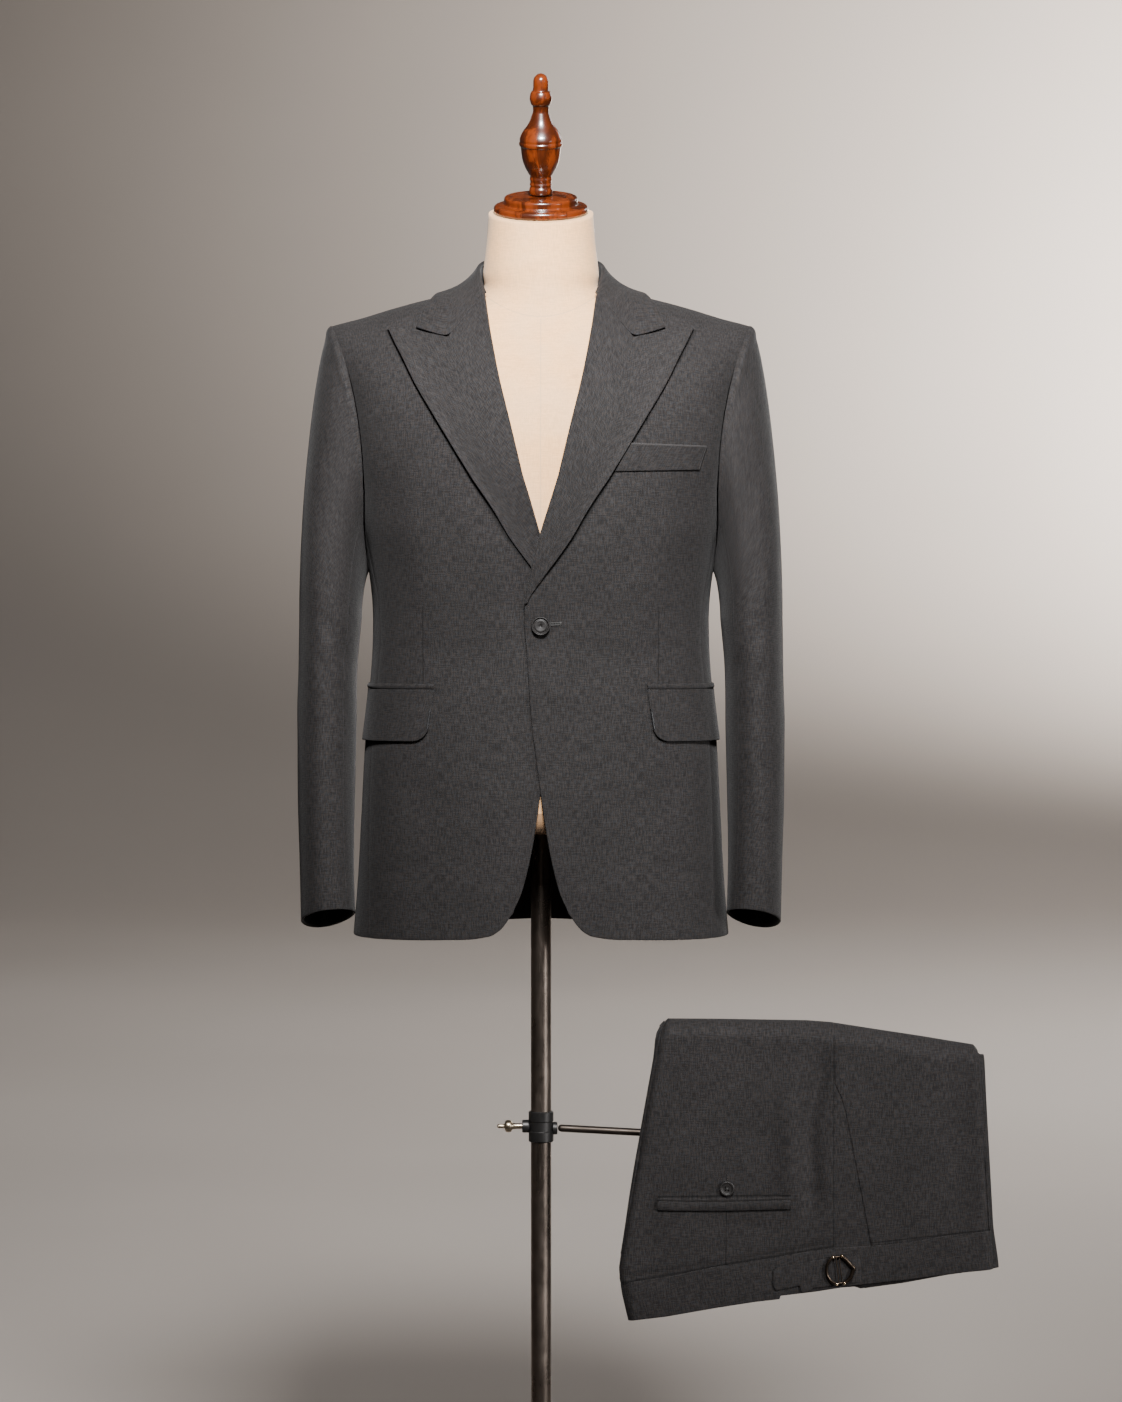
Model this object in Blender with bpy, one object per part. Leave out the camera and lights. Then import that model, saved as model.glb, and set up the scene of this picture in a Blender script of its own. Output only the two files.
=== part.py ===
"""A two-piece suit: jacket on a limbless dress form and stand, trousers folded over the stand's arm.

Metres, +Z up, the pole on the Z axis, the suit faces -Y, so that the wearer's left is +X.
"""

import math

import bmesh
import bpy
import numpy as np

SEAM = 0.0003  # between two pieces at a seam
LOOSE = 0.0007  # drawn back where a curved seam's two sides have different points
CLOTH = 0.002  # wall of the jacket's cloth
MITRE = 0.3  # how far a wall's inner edge is drawn back, as a share of the wall
THIN = 0.0013  # wall of the trousers' cloth, of flaps and welts

# Body of the jacket
POWER = 2.4  # of the superellipse rings
CHEST = 1.300  # above it the cloth turns over the shoulder
TURN = 0.280  # levels between the chest and the shoulder seam
SEAM_LEVEL = CHEST + TURN
HEM_FRONT = 0.8088  # heights of the hem at the two side seams and at the centre of the back
HEM_SIDE = 0.8100
HEM_BACK = 0.8160
SEAM_ROWS = 12

# height, half width, depth in front, depth behind
BODY = np.array([
    (0.800, 0.2035, 0.122, 0.121),
    (0.867, 0.1980, 0.122, 0.123),
    (0.948, 0.1935, 0.1215, 0.117),
    (1.013, 0.1900, 0.1205, 0.106),
    (1.072, 0.1850, 0.120, 0.094),
    (1.126, 0.1815, 0.1205, 0.088),
    (1.169, 0.1820, 0.126, 0.093),
    (1.205, 0.1865, 0.131, 0.103),
    (1.250, 0.1970, 0.135, 0.116),
    (1.300, 0.2045, 0.136, 0.124),
    (1.370, 0.2170, 0.135, 0.127),
    (1.450, 0.2350, 0.131, 0.127),
    (1.560, 0.2500, 0.128, 0.127),
])
# distance from the centre, height of the shoulder line
SHOULDER = np.array([
    (0.000, 1.545),
    (0.040, 1.526),
    (0.069, 1.507),
    (0.104, 1.497),
    (0.127, 1.4915),
    (0.160, 1.4826),
    (0.193, 1.4725),
    (0.225, 1.464),
    (0.240, 1.459),
])
# height, distance of the armhole seam from the centre
ARMHOLE = np.array([
    (1.2000, 0.1855),
    (1.2390, 0.1898),
    (1.2880, 0.1903),
    (1.3310, 0.1922),
    (1.3700, 0.1972),
    (1.4090, 0.2055),
    (1.4432, 0.2160),
    (1.4640, 0.2250),
])
# height, distance from the centre of the front edge, which crosses to the other side below the lapel
FRONT_EDGE = np.array([
    (0.8395, 0.0299),
    (0.8601, 0.0207),
    (0.8758, 0.0162),
    (0.9071, 0.0094),
    (0.9355, 0.0047),
    (0.9649, 0.0006),
    (1.0521, -0.0102),
    (1.1177, -0.0146),
    (1.1462, -0.0168),
    (1.1678, -0.0162),
    (1.2316, -0.0009),
    (1.2961, 0.0186),
    (1.3489, 0.0313),
    (1.4020, 0.0441),
    (1.4496, 0.0532),
    (1.4961, 0.0605),
    (1.5075, 0.0690),
])
# distance from the centre, height of the hem in front
FRONT_HEM = np.array([
    (0.0299, 0.8395),
    (0.0391, 0.8258),
    (0.0506, 0.8164),
    (0.0629, 0.8133),
    (0.1054, 0.8105),
    (0.1700, 0.8090),
    (0.1830, 0.8088),
])
# height, distance from the centre
FRONT_SEAM = np.array([
    (0.800, 0.1835), (1.013, 0.1810), (1.080, 0.1755), (1.130, 0.1715), (1.175, 0.1745),
    (1.239, 0.1898),
])
BACK_SEAM = np.array([
    (0.800, 0.1500), (0.950, 0.1400), (1.120, 0.1260), (1.180, 0.1400), (1.235, 0.1660),
    (1.285, 0.1902),
])
FRONT_SEAM_TOP = 1.239
BACK_SEAM_TOP = 1.285
NAPE = 1.5030  # height of the neck seam at the centre of the back

# Lapels: height, distance from the centre
LAPEL_EDGE = np.array([
    (1.1690, -0.0138),
    (1.1776, -0.0103),
    (1.1875, -0.0040),
    (1.2012, 0.0060),
    (1.2178, 0.0185),
    (1.2355, 0.0310),
    (1.2680, 0.0500),
    (1.2990, 0.0705),
    (1.3280, 0.0885),
    (1.3640, 0.1104),
    (1.3970, 0.1303),
    (1.4268, 0.1455),
    (1.4430, 0.1543),
    (1.4585, 0.1622),
])
# distance from the centre, height, from the roll line past the notch to the peak
LAPEL_TOP = np.array([
    (0.0612, 1.4945),
    (0.0690, 1.4865),
    (0.0780, 1.4745),
    (0.0860, 1.4638),
    (0.0985, 1.4485),
    (0.1340, 1.4575),
    (0.1622, 1.4585),
])
COLLAR_FRONT = np.array([
    (0.0612, 1.4955),
    (0.0700, 1.4870),
    (0.0790, 1.4750),
    (0.0870, 1.4643),
    (0.0990, 1.4500),
    (0.1325, 1.4592),
])
# Fold of the collar and its outer edge, from the nape to the front: place across, along and up
COLLAR_FOLD = np.array([
    (0.0000, 0.0720, 1.5450),
    (0.0370, 0.0625, 1.5430),
    (0.0600, 0.0370, 1.5376),
    (0.0668, 0.0040, 1.5280),
    (0.0650, -0.0220, 1.5140),
    (0.0612, -0.0460, 1.4975),
])
LAPEL_GAP = 0.0008
ROLL = 0.0022

# Sleeves: height, outer and inner distance from the centre, middle along Y, half depth,
# how the inner side leans off the hip
SLEEVE = np.array([
    (0.815, 0.2582, 0.1940, -0.026, 0.056, 0.16),
    (0.889, 0.2600, 0.1985, -0.019, 0.062, 0.07),
    (0.953, 0.2620, 0.1998, -0.012, 0.069, 0.02),
    (1.030, 0.2622, 0.1992, -0.006, 0.074, 0.0),
    (1.100, 0.2614, 0.1980, -0.002, 0.077, 0.0),
    (1.150, 0.2607, 0.1935, 0.000, 0.078, 0.0),
])
SLEEVE_TOP = 1.150
CUFF = 0.8270
CUFF_SLOPE = 0.0140
FOREARM_SEAM = math.radians(128)
HINDARM_SEAM = math.radians(228)

# Front details: height bands and places
FLAP_TOP = 1.0765
FLAP_DROP = 0.0550
FLAP_FRONT = 0.1132
JET_HEIGHT = 0.0058
WELT = np.array([(0.0950, 1.3372), (0.1747, 1.3345), (0.1677, 1.3098), (0.0790, 1.3080)])
BUTTON_AT = (0.0001, 1.1443)
BUTTON_RADIUS = 0.0099
BUTTON_GAP = 0.0013

# Dress form and stand
NECK_TILT = math.radians(13)
NECK_TOP = 1.5855
# height, half width, front, back, superellipse power
FORM = np.array([
    (0.922, 0.166, 0.098, 0.092, 2.3),
    (0.930, 0.174, 0.107, 0.100, 2.3),
    (0.948, 0.1795, 0.1115, 0.103, 2.4),
    (1.013, 0.1770, 0.1110, 0.095, 2.4),
    (1.072, 0.1720, 0.1105, 0.083, 2.4),
    (1.126, 0.1680, 0.1110, 0.077, 2.4),
    (1.169, 0.1685, 0.1165, 0.082, 2.4),
    (1.205, 0.1725, 0.1215, 0.092, 2.4),
    (1.250, 0.1760, 0.1250, 0.104, 2.4),
    (1.300, 0.1770, 0.1250, 0.111, 2.4),
    (1.350, 0.1770, 0.1210, 0.109, 2.3),
    (1.395, 0.1740, 0.1090, 0.101, 2.2),
    (1.430, 0.1670, 0.0930, 0.087, 2.1),
    (1.455, 0.1500, 0.0790, 0.0735, 2.0),
    (1.472, 0.1180, 0.0695, 0.0665, 2.0),
    (1.486, 0.0830, 0.0645, 0.0635, 2.0),
    (1.500, 0.0638, 0.0628, 0.0625, 2.0),
    (1.520, 0.0623, 0.0620, 0.0620, 2.0),
    (1.555, 0.0585, 0.0585, 0.0585, 2.0),
    (1.5855, 0.0562, 0.0562, 0.0562, 2.0),
])
CAP = [
    (0, 0.0003), (0.046, 0.0003), (0.0505, 0.0012), (0.051, 0.004), (0.0505, 0.0072),
    (0.0485, 0.0088), (0.0405, 0.0096), (0.0395, 0.0108), (0.0398, 0.0160), (0.0385, 0.0182),
    (0.0330, 0.0190), (0.0316, 0.0180), (0.0302, 0.0190), (0, 0.0196),
]
CAP_HEIGHT = 0.0199
FINIAL = [
    (0, 0), (0.0124, 0), (0.0128, 0.0064), (0.0112, 0.0095), (0.0122, 0.0115), (0.0112, 0.0140),
    (0.0122, 0.0172), (0.0114, 0.0204), (0.0139, 0.0242), (0.0174, 0.0306), (0.0196, 0.0369),
    (0.0208, 0.0433), (0.0217, 0.0525), (0.0232, 0.0535), (0.0235, 0.0565), (0.0226, 0.0580),
    (0.0229, 0.0605), (0.0217, 0.0649), (0.0186, 0.0700), (0.0146, 0.0751), (0.0118, 0.0802),
    (0.0093, 0.0878), (0.0084, 0.0904), (0.0087, 0.0967), (0.0105, 0.0980), (0.0124, 0.1050),
    (0.0105, 0.1120), (0.0082, 0.1127), (0.0082, 0.1255), (0.0050, 0.1300), (0, 0.1318),
]
POLE_RADIUS = 0.0110
BASE = [
    (0, 0), (0.190, 0), (0.195, 0.004), (0.195, 0.009), (0.188, 0.012), (0.060, 0.019),
    (0.026, 0.024), (0.022, 0.034), (0.020, 0.040), (0.0114, 0.040), (0.0114, 0.0185),
    (0, 0.0185),
]
POLE_FOOT = 0.0190
POLE_TOP = 0.9215

# Clamp, screw and arm
CLAMP_LOW = 0.5821
CLAMP_HIGH = 0.6155
CLAMP_MIDDLE = 0.5990
CLAMP_RADIUS = 0.0135
CLAMP_BORE = 0.0114
SCREW = [
    (0, -0.0117), (0.0026, -0.0117), (0.0030, -0.0122), (0.0030, -0.0313), (0.0062, -0.0320),
    (0.0067, -0.0353), (0.0062, -0.0386), (0.0030, -0.0393), (0.0023, -0.0400),
    (0.0023, -0.0465), (0.0015, -0.0475), (0, -0.0475),
]
SCREW_BORE = 0.0034
ROD_RADIUS = 0.0040
ROD = np.array([
    (0.0222, 0, 0.5968), (0.112, 0, 0.5920), (0.280, 0, 0.5830), (0.292, 0, 0.5850),
    (0.2975, 0, 0.5960), (0.2990, 0, 0.6200), (0.3000, 0, 0.6800),
])
BAR = np.array([(0.152, 0, 0.6985), (0.440, 0, 0.6750)])
BAR_RADIUS = 0.0045

# Folded trousers
HALF = 0.0215  # half of the bundle's thickness
EDGE_ROUND = 0.0090
SKIN_TURN = 2.0  # how far the outer layer runs over the top fold, in radians
SLOT = 0.0058
PANT_TOP = np.array([
    (0.0851, 0.7095), (0.1306, 0.7102), (0.1376, 0.7161), (0.1924, 0.7158), (0.288, 0.7142),
    (0.3139, 0.7122), (0.4185, 0.6958), (0.4684, 0.6879), (0.4733, 0.6833), (0.4883, 0.6820),
])
PANT_LEFT = np.array([
    (0.3903, 0.0954), (0.4043, 0.0923), (0.4198, 0.0884), (0.4352, 0.0858), (0.4481, 0.0851),
    (0.4711, 0.0888), (0.4920, 0.0927), (0.5952, 0.1107), (0.6749, 0.1256), (0.6982, 0.1286),
    (0.7102, 0.1306), (0.7161, 0.1340),
])
PANT_RIGHT = np.array([
    (0.4469, 0.4883), (0.4866, 0.4843), (0.6255, 0.4763), (0.6723, 0.4740), (0.6833, 0.4730),
])
PANT_BOTTOM = np.array([
    (0.0954, 0.3903), (0.1361, 0.3953), (0.1874, 0.4043), (0.2302, 0.4118), (0.2571, 0.4155),
    (0.292, 0.4212), (0.3493, 0.4290), (0.3867, 0.4357), (0.4315, 0.4417), (0.4614, 0.4451),
    (0.4883, 0.4469),
])
PANT_BAND = np.array([
    (0.0884, 0.4292), (0.0997, 0.4322), (0.1386, 0.4382), (0.1774, 0.4467), (0.2357, 0.4561),
    (0.3089, 0.4680), (0.3378, 0.4701), (0.3896, 0.4745), (0.4395, 0.4825), (0.4838, 0.4870),
])
SLANT = np.array([
    (0.4700, 0.3575), (0.4830, 0.3548), (0.5149, 0.3488), (0.5518, 0.3418), (0.6185, 0.3289),
    (0.6325, 0.3244), (0.6484, 0.3172),
])
SIDE_SEAM = 0.3170
BAND_ENDS = (0.0957, 0.4850)  # where the waistband's side edges stand
BAND_CORNERS = (0.4300, 0.4868)  # heights of its upper corners
FACING_LOW = 0.4712  # lowest point of the pocket facing
FACING_INSET = 0.0006
STRAP_ENDS = (0.2500, 0.2530, 0.3600)  # tip, full width and covered end of the adjuster strap
HIP_WELT = (0.1262, 0.2688, 0.5105, 0.5238)
HIP_BUTTON = (0.2008, 0.5338)
HIP_BUTTON_RADIUS = 0.0082
STRAP_LOW = np.array([
    (0.2500, 0.4300), (0.2530, 0.4262), (0.2781, 0.4317), (0.3050, 0.4365), (0.3600, 0.4440),
])
STRAP_HIGH = np.array([
    (0.2500, 0.4460), (0.2530, 0.4500), (0.2741, 0.4541), (0.3060, 0.4597), (0.3600, 0.4660),
])
BUCKLE_AT = (0.3214, 0.4481)
BUCKLE_HALF = (0.0160, 0.0178)


def material(name, colour, rough, metal=0.0):
    made = bpy.data.materials.new(name)
    made.use_nodes = True
    shader = made.node_tree.nodes["Principled BSDF"]
    shader.inputs["Base Color"].default_value = (*colour, 1)
    shader.inputs["Roughness"].default_value = rough
    shader.inputs["Metallic"].default_value = metal
    return made


def add(name, points, faces, made):
    """An object from points and faces, its faces turned outward."""
    mesh = bpy.data.meshes.new(name)
    mesh.from_pydata([tuple(map(float, p)) for p in points], [], faces)
    shape = bmesh.new()
    shape.from_mesh(mesh)
    bmesh.ops.recalc_face_normals(shape, faces=shape.faces)
    if shape.calc_volume(signed=True) < 0:
        bmesh.ops.reverse_faces(shape, faces=shape.faces)
    bmesh.ops.triangulate(shape, faces=shape.faces)
    shape.to_mesh(mesh)
    shape.free()
    mesh.materials.append(made)
    obj = bpy.data.objects.new(name, mesh)
    bpy.context.scene.collection.objects.link(obj)
    return obj


def curve(at, table):
    """Smooth values of the table's other columns at places along its first one."""
    keys = table[:, 0]
    values = table[:, 1:]
    at = np.clip(np.asarray(at, float), keys[0], keys[-1])
    slope = np.gradient(values, keys, axis=0)
    i = np.clip(np.searchsorted(keys, at, side="right") - 1, 0, len(keys) - 2)
    h = (keys[i + 1] - keys[i])[..., None]
    t = (at - keys[i])[..., None] / h
    low = (1 + 2 * t) * (1 - t) ** 2 * values[i] + t * (1 - t) ** 2 * h * slope[i]
    high = t * t * (3 - 2 * t) * values[i + 1] + t * t * (t - 1) * h * slope[i + 1]
    out = low + high
    return out[..., 0] if values.shape[1] == 1 else out


def through(points, count, corner, at):
    """The polyline's points again, with its numbered corner kept as the point numbered at."""
    return np.concatenate([along(points[:corner + 1], at + 1)[:-1], along(points[corner:], count - at)])


def along(points, count, share=None):
    """The polyline's points again, evenly spaced or at the given shares of its length."""
    points = np.asarray(points, float)
    run = np.concatenate([[0], np.cumsum(np.linalg.norm(np.diff(points, axis=0), axis=1))])
    at = (np.linspace(0, 1, count) if share is None else share) * run[-1]
    return np.stack([np.interp(at, run, points[:, k]) for k in range(points.shape[1])], axis=1)


def coons(bottom, top, left, right, share=None, rise=None):
    """Grid [across, up] that fills four edges; bottom and top run from left to right, the others upward."""
    u = (np.linspace(0, 1, len(bottom)) if share is None else share)[:, None, None]
    v = (np.linspace(0, 1, len(left)) if rise is None else rise)[None, :, None]
    rails = (1 - u) * left[None] + u * right[None]
    rungs = (1 - v) * bottom[:, None] + v * top[:, None]
    low = (1 - u) * bottom[0] + u * bottom[-1]
    high = (1 - u) * top[0] + u * top[-1]
    return rails + rungs - (1 - v) * low - v * high


def normals(grid):
    """Unit normals of a grid, to the side from which [across, up] turns anticlockwise."""
    n = np.cross(np.gradient(grid, axis=0), np.gradient(grid, axis=1))
    return n / np.maximum(np.linalg.norm(n, axis=2, keepdims=True), 1e-12)


def drawn_back(grid, by):
    """The grid with its four edges drawn back."""
    grid = grid.copy()
    for edge, inner in ((0, 1), (-1, -2)):
        step = grid[inner] - grid[edge]
        grid[edge] += by * step / np.maximum(np.linalg.norm(step, axis=1, keepdims=True), 1e-9)
    for edge, inner in ((0, 1), (-1, -2)):
        step = grid[:, inner] - grid[:, edge]
        grid[:, edge] += by * step / np.maximum(np.linalg.norm(step, axis=1, keepdims=True), 1e-9)
    return grid


def sheet(name, outer, inner, made):
    """A closed wall between two grids of the same shape."""
    m, n = outer.shape[:2]
    points = np.concatenate([outer.reshape(-1, 3), inner.reshape(-1, 3)])
    index = np.arange(m * n).reshape(m, n)
    faces = []
    for i in range(m - 1):
        for j in range(n - 1):
            quad = [index[i, j], index[i + 1, j], index[i + 1, j + 1], index[i, j + 1]]
            faces.append([int(k) for k in quad])
            faces.append([int(k) + m * n for k in reversed(quad)])
    rim = [*index[:, 0], *index[-1, 1:], *index[-2::-1, -1], *index[0, -2:0:-1]]
    for a, b in zip(rim, rim[1:] + rim[:1]):
        faces.append([int(b), int(a), int(a) + m * n, int(b) + m * n])
    return add(name, points, faces, made)


def cloth(name, grid, made, thick=CLOTH, lift=0.0, gap=SEAM / 2):
    """A wall of cloth whose outer face is the grid moved out by lift, its edges drawn back by gap."""
    grid = drawn_back(grid, gap)
    n = normals(grid)
    lift = np.broadcast_to(np.asarray(lift, float), grid.shape[:2])[..., None]
    return sheet(name, grid + n * lift, drawn_back(grid + n * (lift - thick), MITRE * thick), made)


def mirrored(grid):
    """The other side's grid, turned so that its normals still face out."""
    return (grid * (-1, 1, 1))[::-1]


def turned(name, profile, made, segments=32, tilt=0.0, at=(0, 0, 0), axis="z"):
    """A solid turned from (radius, distance) pairs about an axis; the top of a tilted one leans forward."""
    angle = np.linspace(0, 2 * np.pi, segments, endpoint=False)
    points = []
    rings = []
    for r, d in profile:
        if r == 0:
            rings.append([len(points)] * segments)
            points.append((0, 0, d))
        else:
            rings.append(list(range(len(points), len(points) + segments)))
            points += [(r * math.cos(a), r * math.sin(a), d) for a in angle]
    faces = []
    for low, high in zip(rings, rings[1:]):
        for i in range(segments):
            j = (i + 1) % segments
            corner = [low[i], low[j], high[j], high[i]]
            corner = [k for n, k in enumerate(corner) if k not in corner[:n]]
            if len(corner) > 2:
                faces.append(corner)
    p = np.array(points, float)
    if axis == "x":
        p = p[:, [2, 0, 1]]
    if axis == "y":
        p = p[:, [1, 2, 0]]
    c, s = math.cos(tilt), math.sin(tilt)
    p = np.stack([p[:, 0], p[:, 1] * c - p[:, 2] * s, p[:, 1] * s + p[:, 2] * c], axis=1)
    return add(name, p + np.array(at), faces, made)


def tube(name, path, radius, made, segments=12):
    """A round bar along a path in the plane y = 0, with rounded ends."""
    path = np.asarray(path, float)
    tangent = np.gradient(path, axis=0)
    tangent /= np.linalg.norm(tangent, axis=1, keepdims=True)
    side = np.array((0.0, 1.0, 0.0))
    up = np.cross(tangent, side)
    angle = np.linspace(0, 2 * np.pi, segments, endpoint=False)
    ends = [(0, -1.0, 0.45), (0, -0.6, 0.85)], [(-1, 0.6, 0.85), (-1, 1.0, 0.45)]
    rings = [(path[i] + tangent[i] * radius * push, up[i], radius * share) for i, push, share in ends[0]]
    rings += [(p, u, radius) for p, u in zip(path, up)]
    rings += [(path[i] + tangent[i] * radius * push, up[i], radius * share) for i, push, share in ends[1]]
    grid = np.array([[c + r * (math.cos(a) * u + math.sin(a) * side) for a in angle] for c, u, r in rings])
    return lofted(name, grid, made)


def lofted(name, rings, made):
    """A solid through closed rings [ring, around], its ends filled flat."""
    m, n = rings.shape[:2]
    index = np.arange(m * n).reshape(m, n)
    faces = [[int(k) for k in index[0][::-1]], [int(k) for k in index[-1]]]
    for i in range(m - 1):
        for j in range(n):
            k = (j + 1) % n
            faces.append([int(index[i, j]), int(index[i, k]), int(index[i + 1, k]), int(index[i + 1, j])])
    return add(name, rings.reshape(-1, 3), faces, made)


def combined(obj, other, how="DIFFERENCE"):
    """The object with the other one taken out of it, or joined to it."""
    tool = obj.modifiers.new("combined", "BOOLEAN")
    tool.operation = how
    tool.solver = "EXACT"
    tool.object = other
    shaped = obj.evaluated_get(bpy.context.evaluated_depsgraph_get())
    mesh = bpy.data.meshes.new_from_object(shaped)
    obj.modifiers.clear()
    obj.data = mesh
    bpy.data.objects.remove(other)
    return obj


def reach(x, z, back=False):
    """Distance of the jacket from the plane y = 0, at a place across and at a height."""
    ring = curve(z, BODY)
    share = np.clip(1 - (np.abs(x) / ring[..., 0]) ** POWER, 0, 1)
    return ring[..., 2 if back else 1] * share ** (1 / POWER)


def body(flat, back=False):
    """Points of the jacket's outside at [.., (x, level)]; high levels turn up over the shoulder."""
    x, level = flat[..., 0], flat[..., 1]
    turn = np.clip((level - CHEST) / TURN, 0, 1) * np.pi / 2
    top = curve(np.abs(x), SHOULDER)
    z = np.where(level <= CHEST, level, CHEST + (top - CHEST) * np.sin(turn))
    y = reach(x, z, back) * np.cos(turn)
    return np.stack([x, y if back else -y, z], axis=-1)


def level_of(x, z):
    """The level of a height at a place across."""
    top = curve(np.abs(x), SHOULDER)
    turn = np.arcsin(np.clip((z - CHEST) / (top - CHEST), 0, 1))
    return np.where(z <= CHEST, z, CHEST + TURN * turn / (np.pi / 2))


def flat_points(x, z):
    return np.stack([x, level_of(x, z)], axis=-1)


def armhole_x(z):
    return np.minimum(curve(z, ARMHOLE), curve(z, BODY)[..., 0] * 0.9998)


def seam_levels(low, seam_top, up):
    """Levels of a front's or back's rows: SEAM_ROWS on the side seam, the rest on the armhole."""
    below = np.linspace(low, seam_top, SEAM_ROWS)[:-1]
    return np.concatenate([below, np.linspace(seam_top, SEAM_LEVEL, up - SEAM_ROWS + 1)])


def outer_edge(low, seam, seam_top, up):
    """Side seam and armhole of a front or back from hem to shoulder, as (x, level)."""
    levels = np.linspace(low, SEAM_LEVEL, 400)
    high, tip = float(seam_top), ARMHOLE[-1]
    rounding = np.sin(np.linspace(0, np.pi / 2, 120))
    z = np.concatenate([levels[levels < high], high + (tip[0] - high) * rounding])
    x = np.where(z < high, curve(z, seam), armhole_x(z))
    found = flat_points(x, z)
    found[-1] = (tip[1], SEAM_LEVEL)
    at = seam_levels(low, seam_top, up)
    return np.stack([np.interp(at, found[:, 1], found[:, 0]), at], axis=1)


def front_grid(across=11, up=18):
    """The left front from its edge and roll line to the side seam and armhole."""
    z = FRONT_EDGE[:, 0]
    edge = flat_points(FRONT_EDGE[:, 1], z)
    edge[-1, 1] = SEAM_LEVEL
    right = outer_edge(HEM_FRONT, FRONT_SEAM, FRONT_SEAM_TOP, up)
    rise = (right[:, 1] - HEM_FRONT) / (SEAM_LEVEL - HEM_FRONT)
    at = edge[0, 1] + rise * (SEAM_LEVEL - edge[0, 1])
    left = np.stack([curve(at, edge[:, ::-1]), at], axis=1)
    x = np.linspace(FRONT_HEM[0, 0], right[0, 0], across)
    bottom = np.stack([x, np.interp(x, FRONT_HEM[:, 0], FRONT_HEM[:, 1])], axis=1)
    x = np.linspace(left[-1, 0], right[-1, 0], across)
    top = np.stack([x, np.full(across, SEAM_LEVEL)], axis=1)
    bottom[0], bottom[-1] = left[0], right[0]
    return coons(bottom, top, left, right, rise=rise)


def tuck(flat):
    """How far the right front drops below the left one that covers it."""
    x, z = flat[..., 0], flat[..., 1]
    under = np.clip((0.046 - x) / 0.032, 0, 1)
    deep = np.interp(z, [0.80, 1.11, 1.165, 1.250, 1.310], [0.0028, 0.0028, 0.0054, 0.0054, 0])
    return deep * under * under * (3 - 2 * under)


def side_angle(x, z, sign):
    """Angle of a superellipse point at a place across; negative in front."""
    share = np.clip(x / curve(z, BODY)[..., 0], 0, 1)
    return sign * np.arccos(share ** (POWER / 2))


def round_body(angle, z):
    """Points of the jacket's outside by angle from the side and height, below the chest level."""
    ring = curve(z, BODY)
    depth = np.where(angle < 0, ring[..., 1], ring[..., 2])
    x = ring[..., 0] * np.abs(np.cos(angle)) ** (2 / POWER)
    y = np.sign(angle) * depth * np.abs(np.sin(angle)) ** (2 / POWER)
    return np.stack([x, y, z], axis=-1)


def side_grid(across=5):
    """The left side panel between the two side seams, up to the low part of the armhole."""
    low = np.linspace(HEM_FRONT, FRONT_SEAM_TOP, SEAM_ROWS)
    left = np.stack([side_angle(curve(low, FRONT_SEAM), low, -1), low], axis=1)
    high = np.linspace(HEM_SIDE, BACK_SEAM_TOP, SEAM_ROWS)
    right = np.stack([side_angle(curve(high, BACK_SEAM), high, 1), high], axis=1)
    turn = np.linspace(0, 1, 60)
    front = FRONT_SEAM_TOP + (ARMHOLE[0, 0] - FRONT_SEAM_TOP) * np.sin(turn * np.pi / 2)
    back = ARMHOLE[0, 0] + (BACK_SEAM_TOP - ARMHOLE[0, 0]) * (1 - np.cos(turn * np.pi / 2))
    rim = np.concatenate([
        np.stack([side_angle(armhole_x(front), front, -1), front], axis=1),
        np.stack([side_angle(armhole_x(back), back, 1), back], axis=1)[1:],
    ])
    share = np.linspace(0, 1, across)
    angles = left[-1, 0] + share * (right[-1, 0] - left[-1, 0])
    top = np.stack([angles, np.interp(angles, rim[:, 0], rim[:, 1])], axis=1)
    hem = left[0, 0] + share * (right[0, 0] - left[0, 0])
    bottom = np.stack([hem, HEM_FRONT + (HEM_SIDE - HEM_FRONT) * share], axis=1)
    bottom[0], bottom[-1], top[0], top[-1] = left[0], right[0], left[-1], right[-1]
    flat = coons(bottom, top, left, right)
    return round_body(flat[..., 0], flat[..., 1])


def back_grid(across=10, up=18):
    """The left back from its centre seam to the side seam and armhole."""
    nape = float(level_of(np.array(0.0), np.array(NAPE)))
    right = outer_edge(HEM_SIDE, BACK_SEAM, BACK_SEAM_TOP, up)
    rise = (right[:, 1] - HEM_SIDE) / (SEAM_LEVEL - HEM_SIDE)
    left = np.stack([np.zeros(up), HEM_BACK + rise * (nape - HEM_BACK)], axis=1)
    x = np.linspace(0, right[0, 0], across)
    bottom = np.stack([x, np.interp(x, [0, right[0, 0]], [HEM_BACK, HEM_SIDE])], axis=1)
    neck = FRONT_EDGE[-1, 1]
    turn = np.linspace(0, np.pi / 2, 16)
    arc = np.stack([neck * np.sin(turn), nape + (SEAM_LEVEL - nape) * (1 - np.cos(turn))], axis=1)
    line = np.concatenate([arc, [(ARMHOLE[-1, 1], SEAM_LEVEL)]])
    top = along(line, across)
    return coons(bottom, top, left, right, rise=rise)


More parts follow.
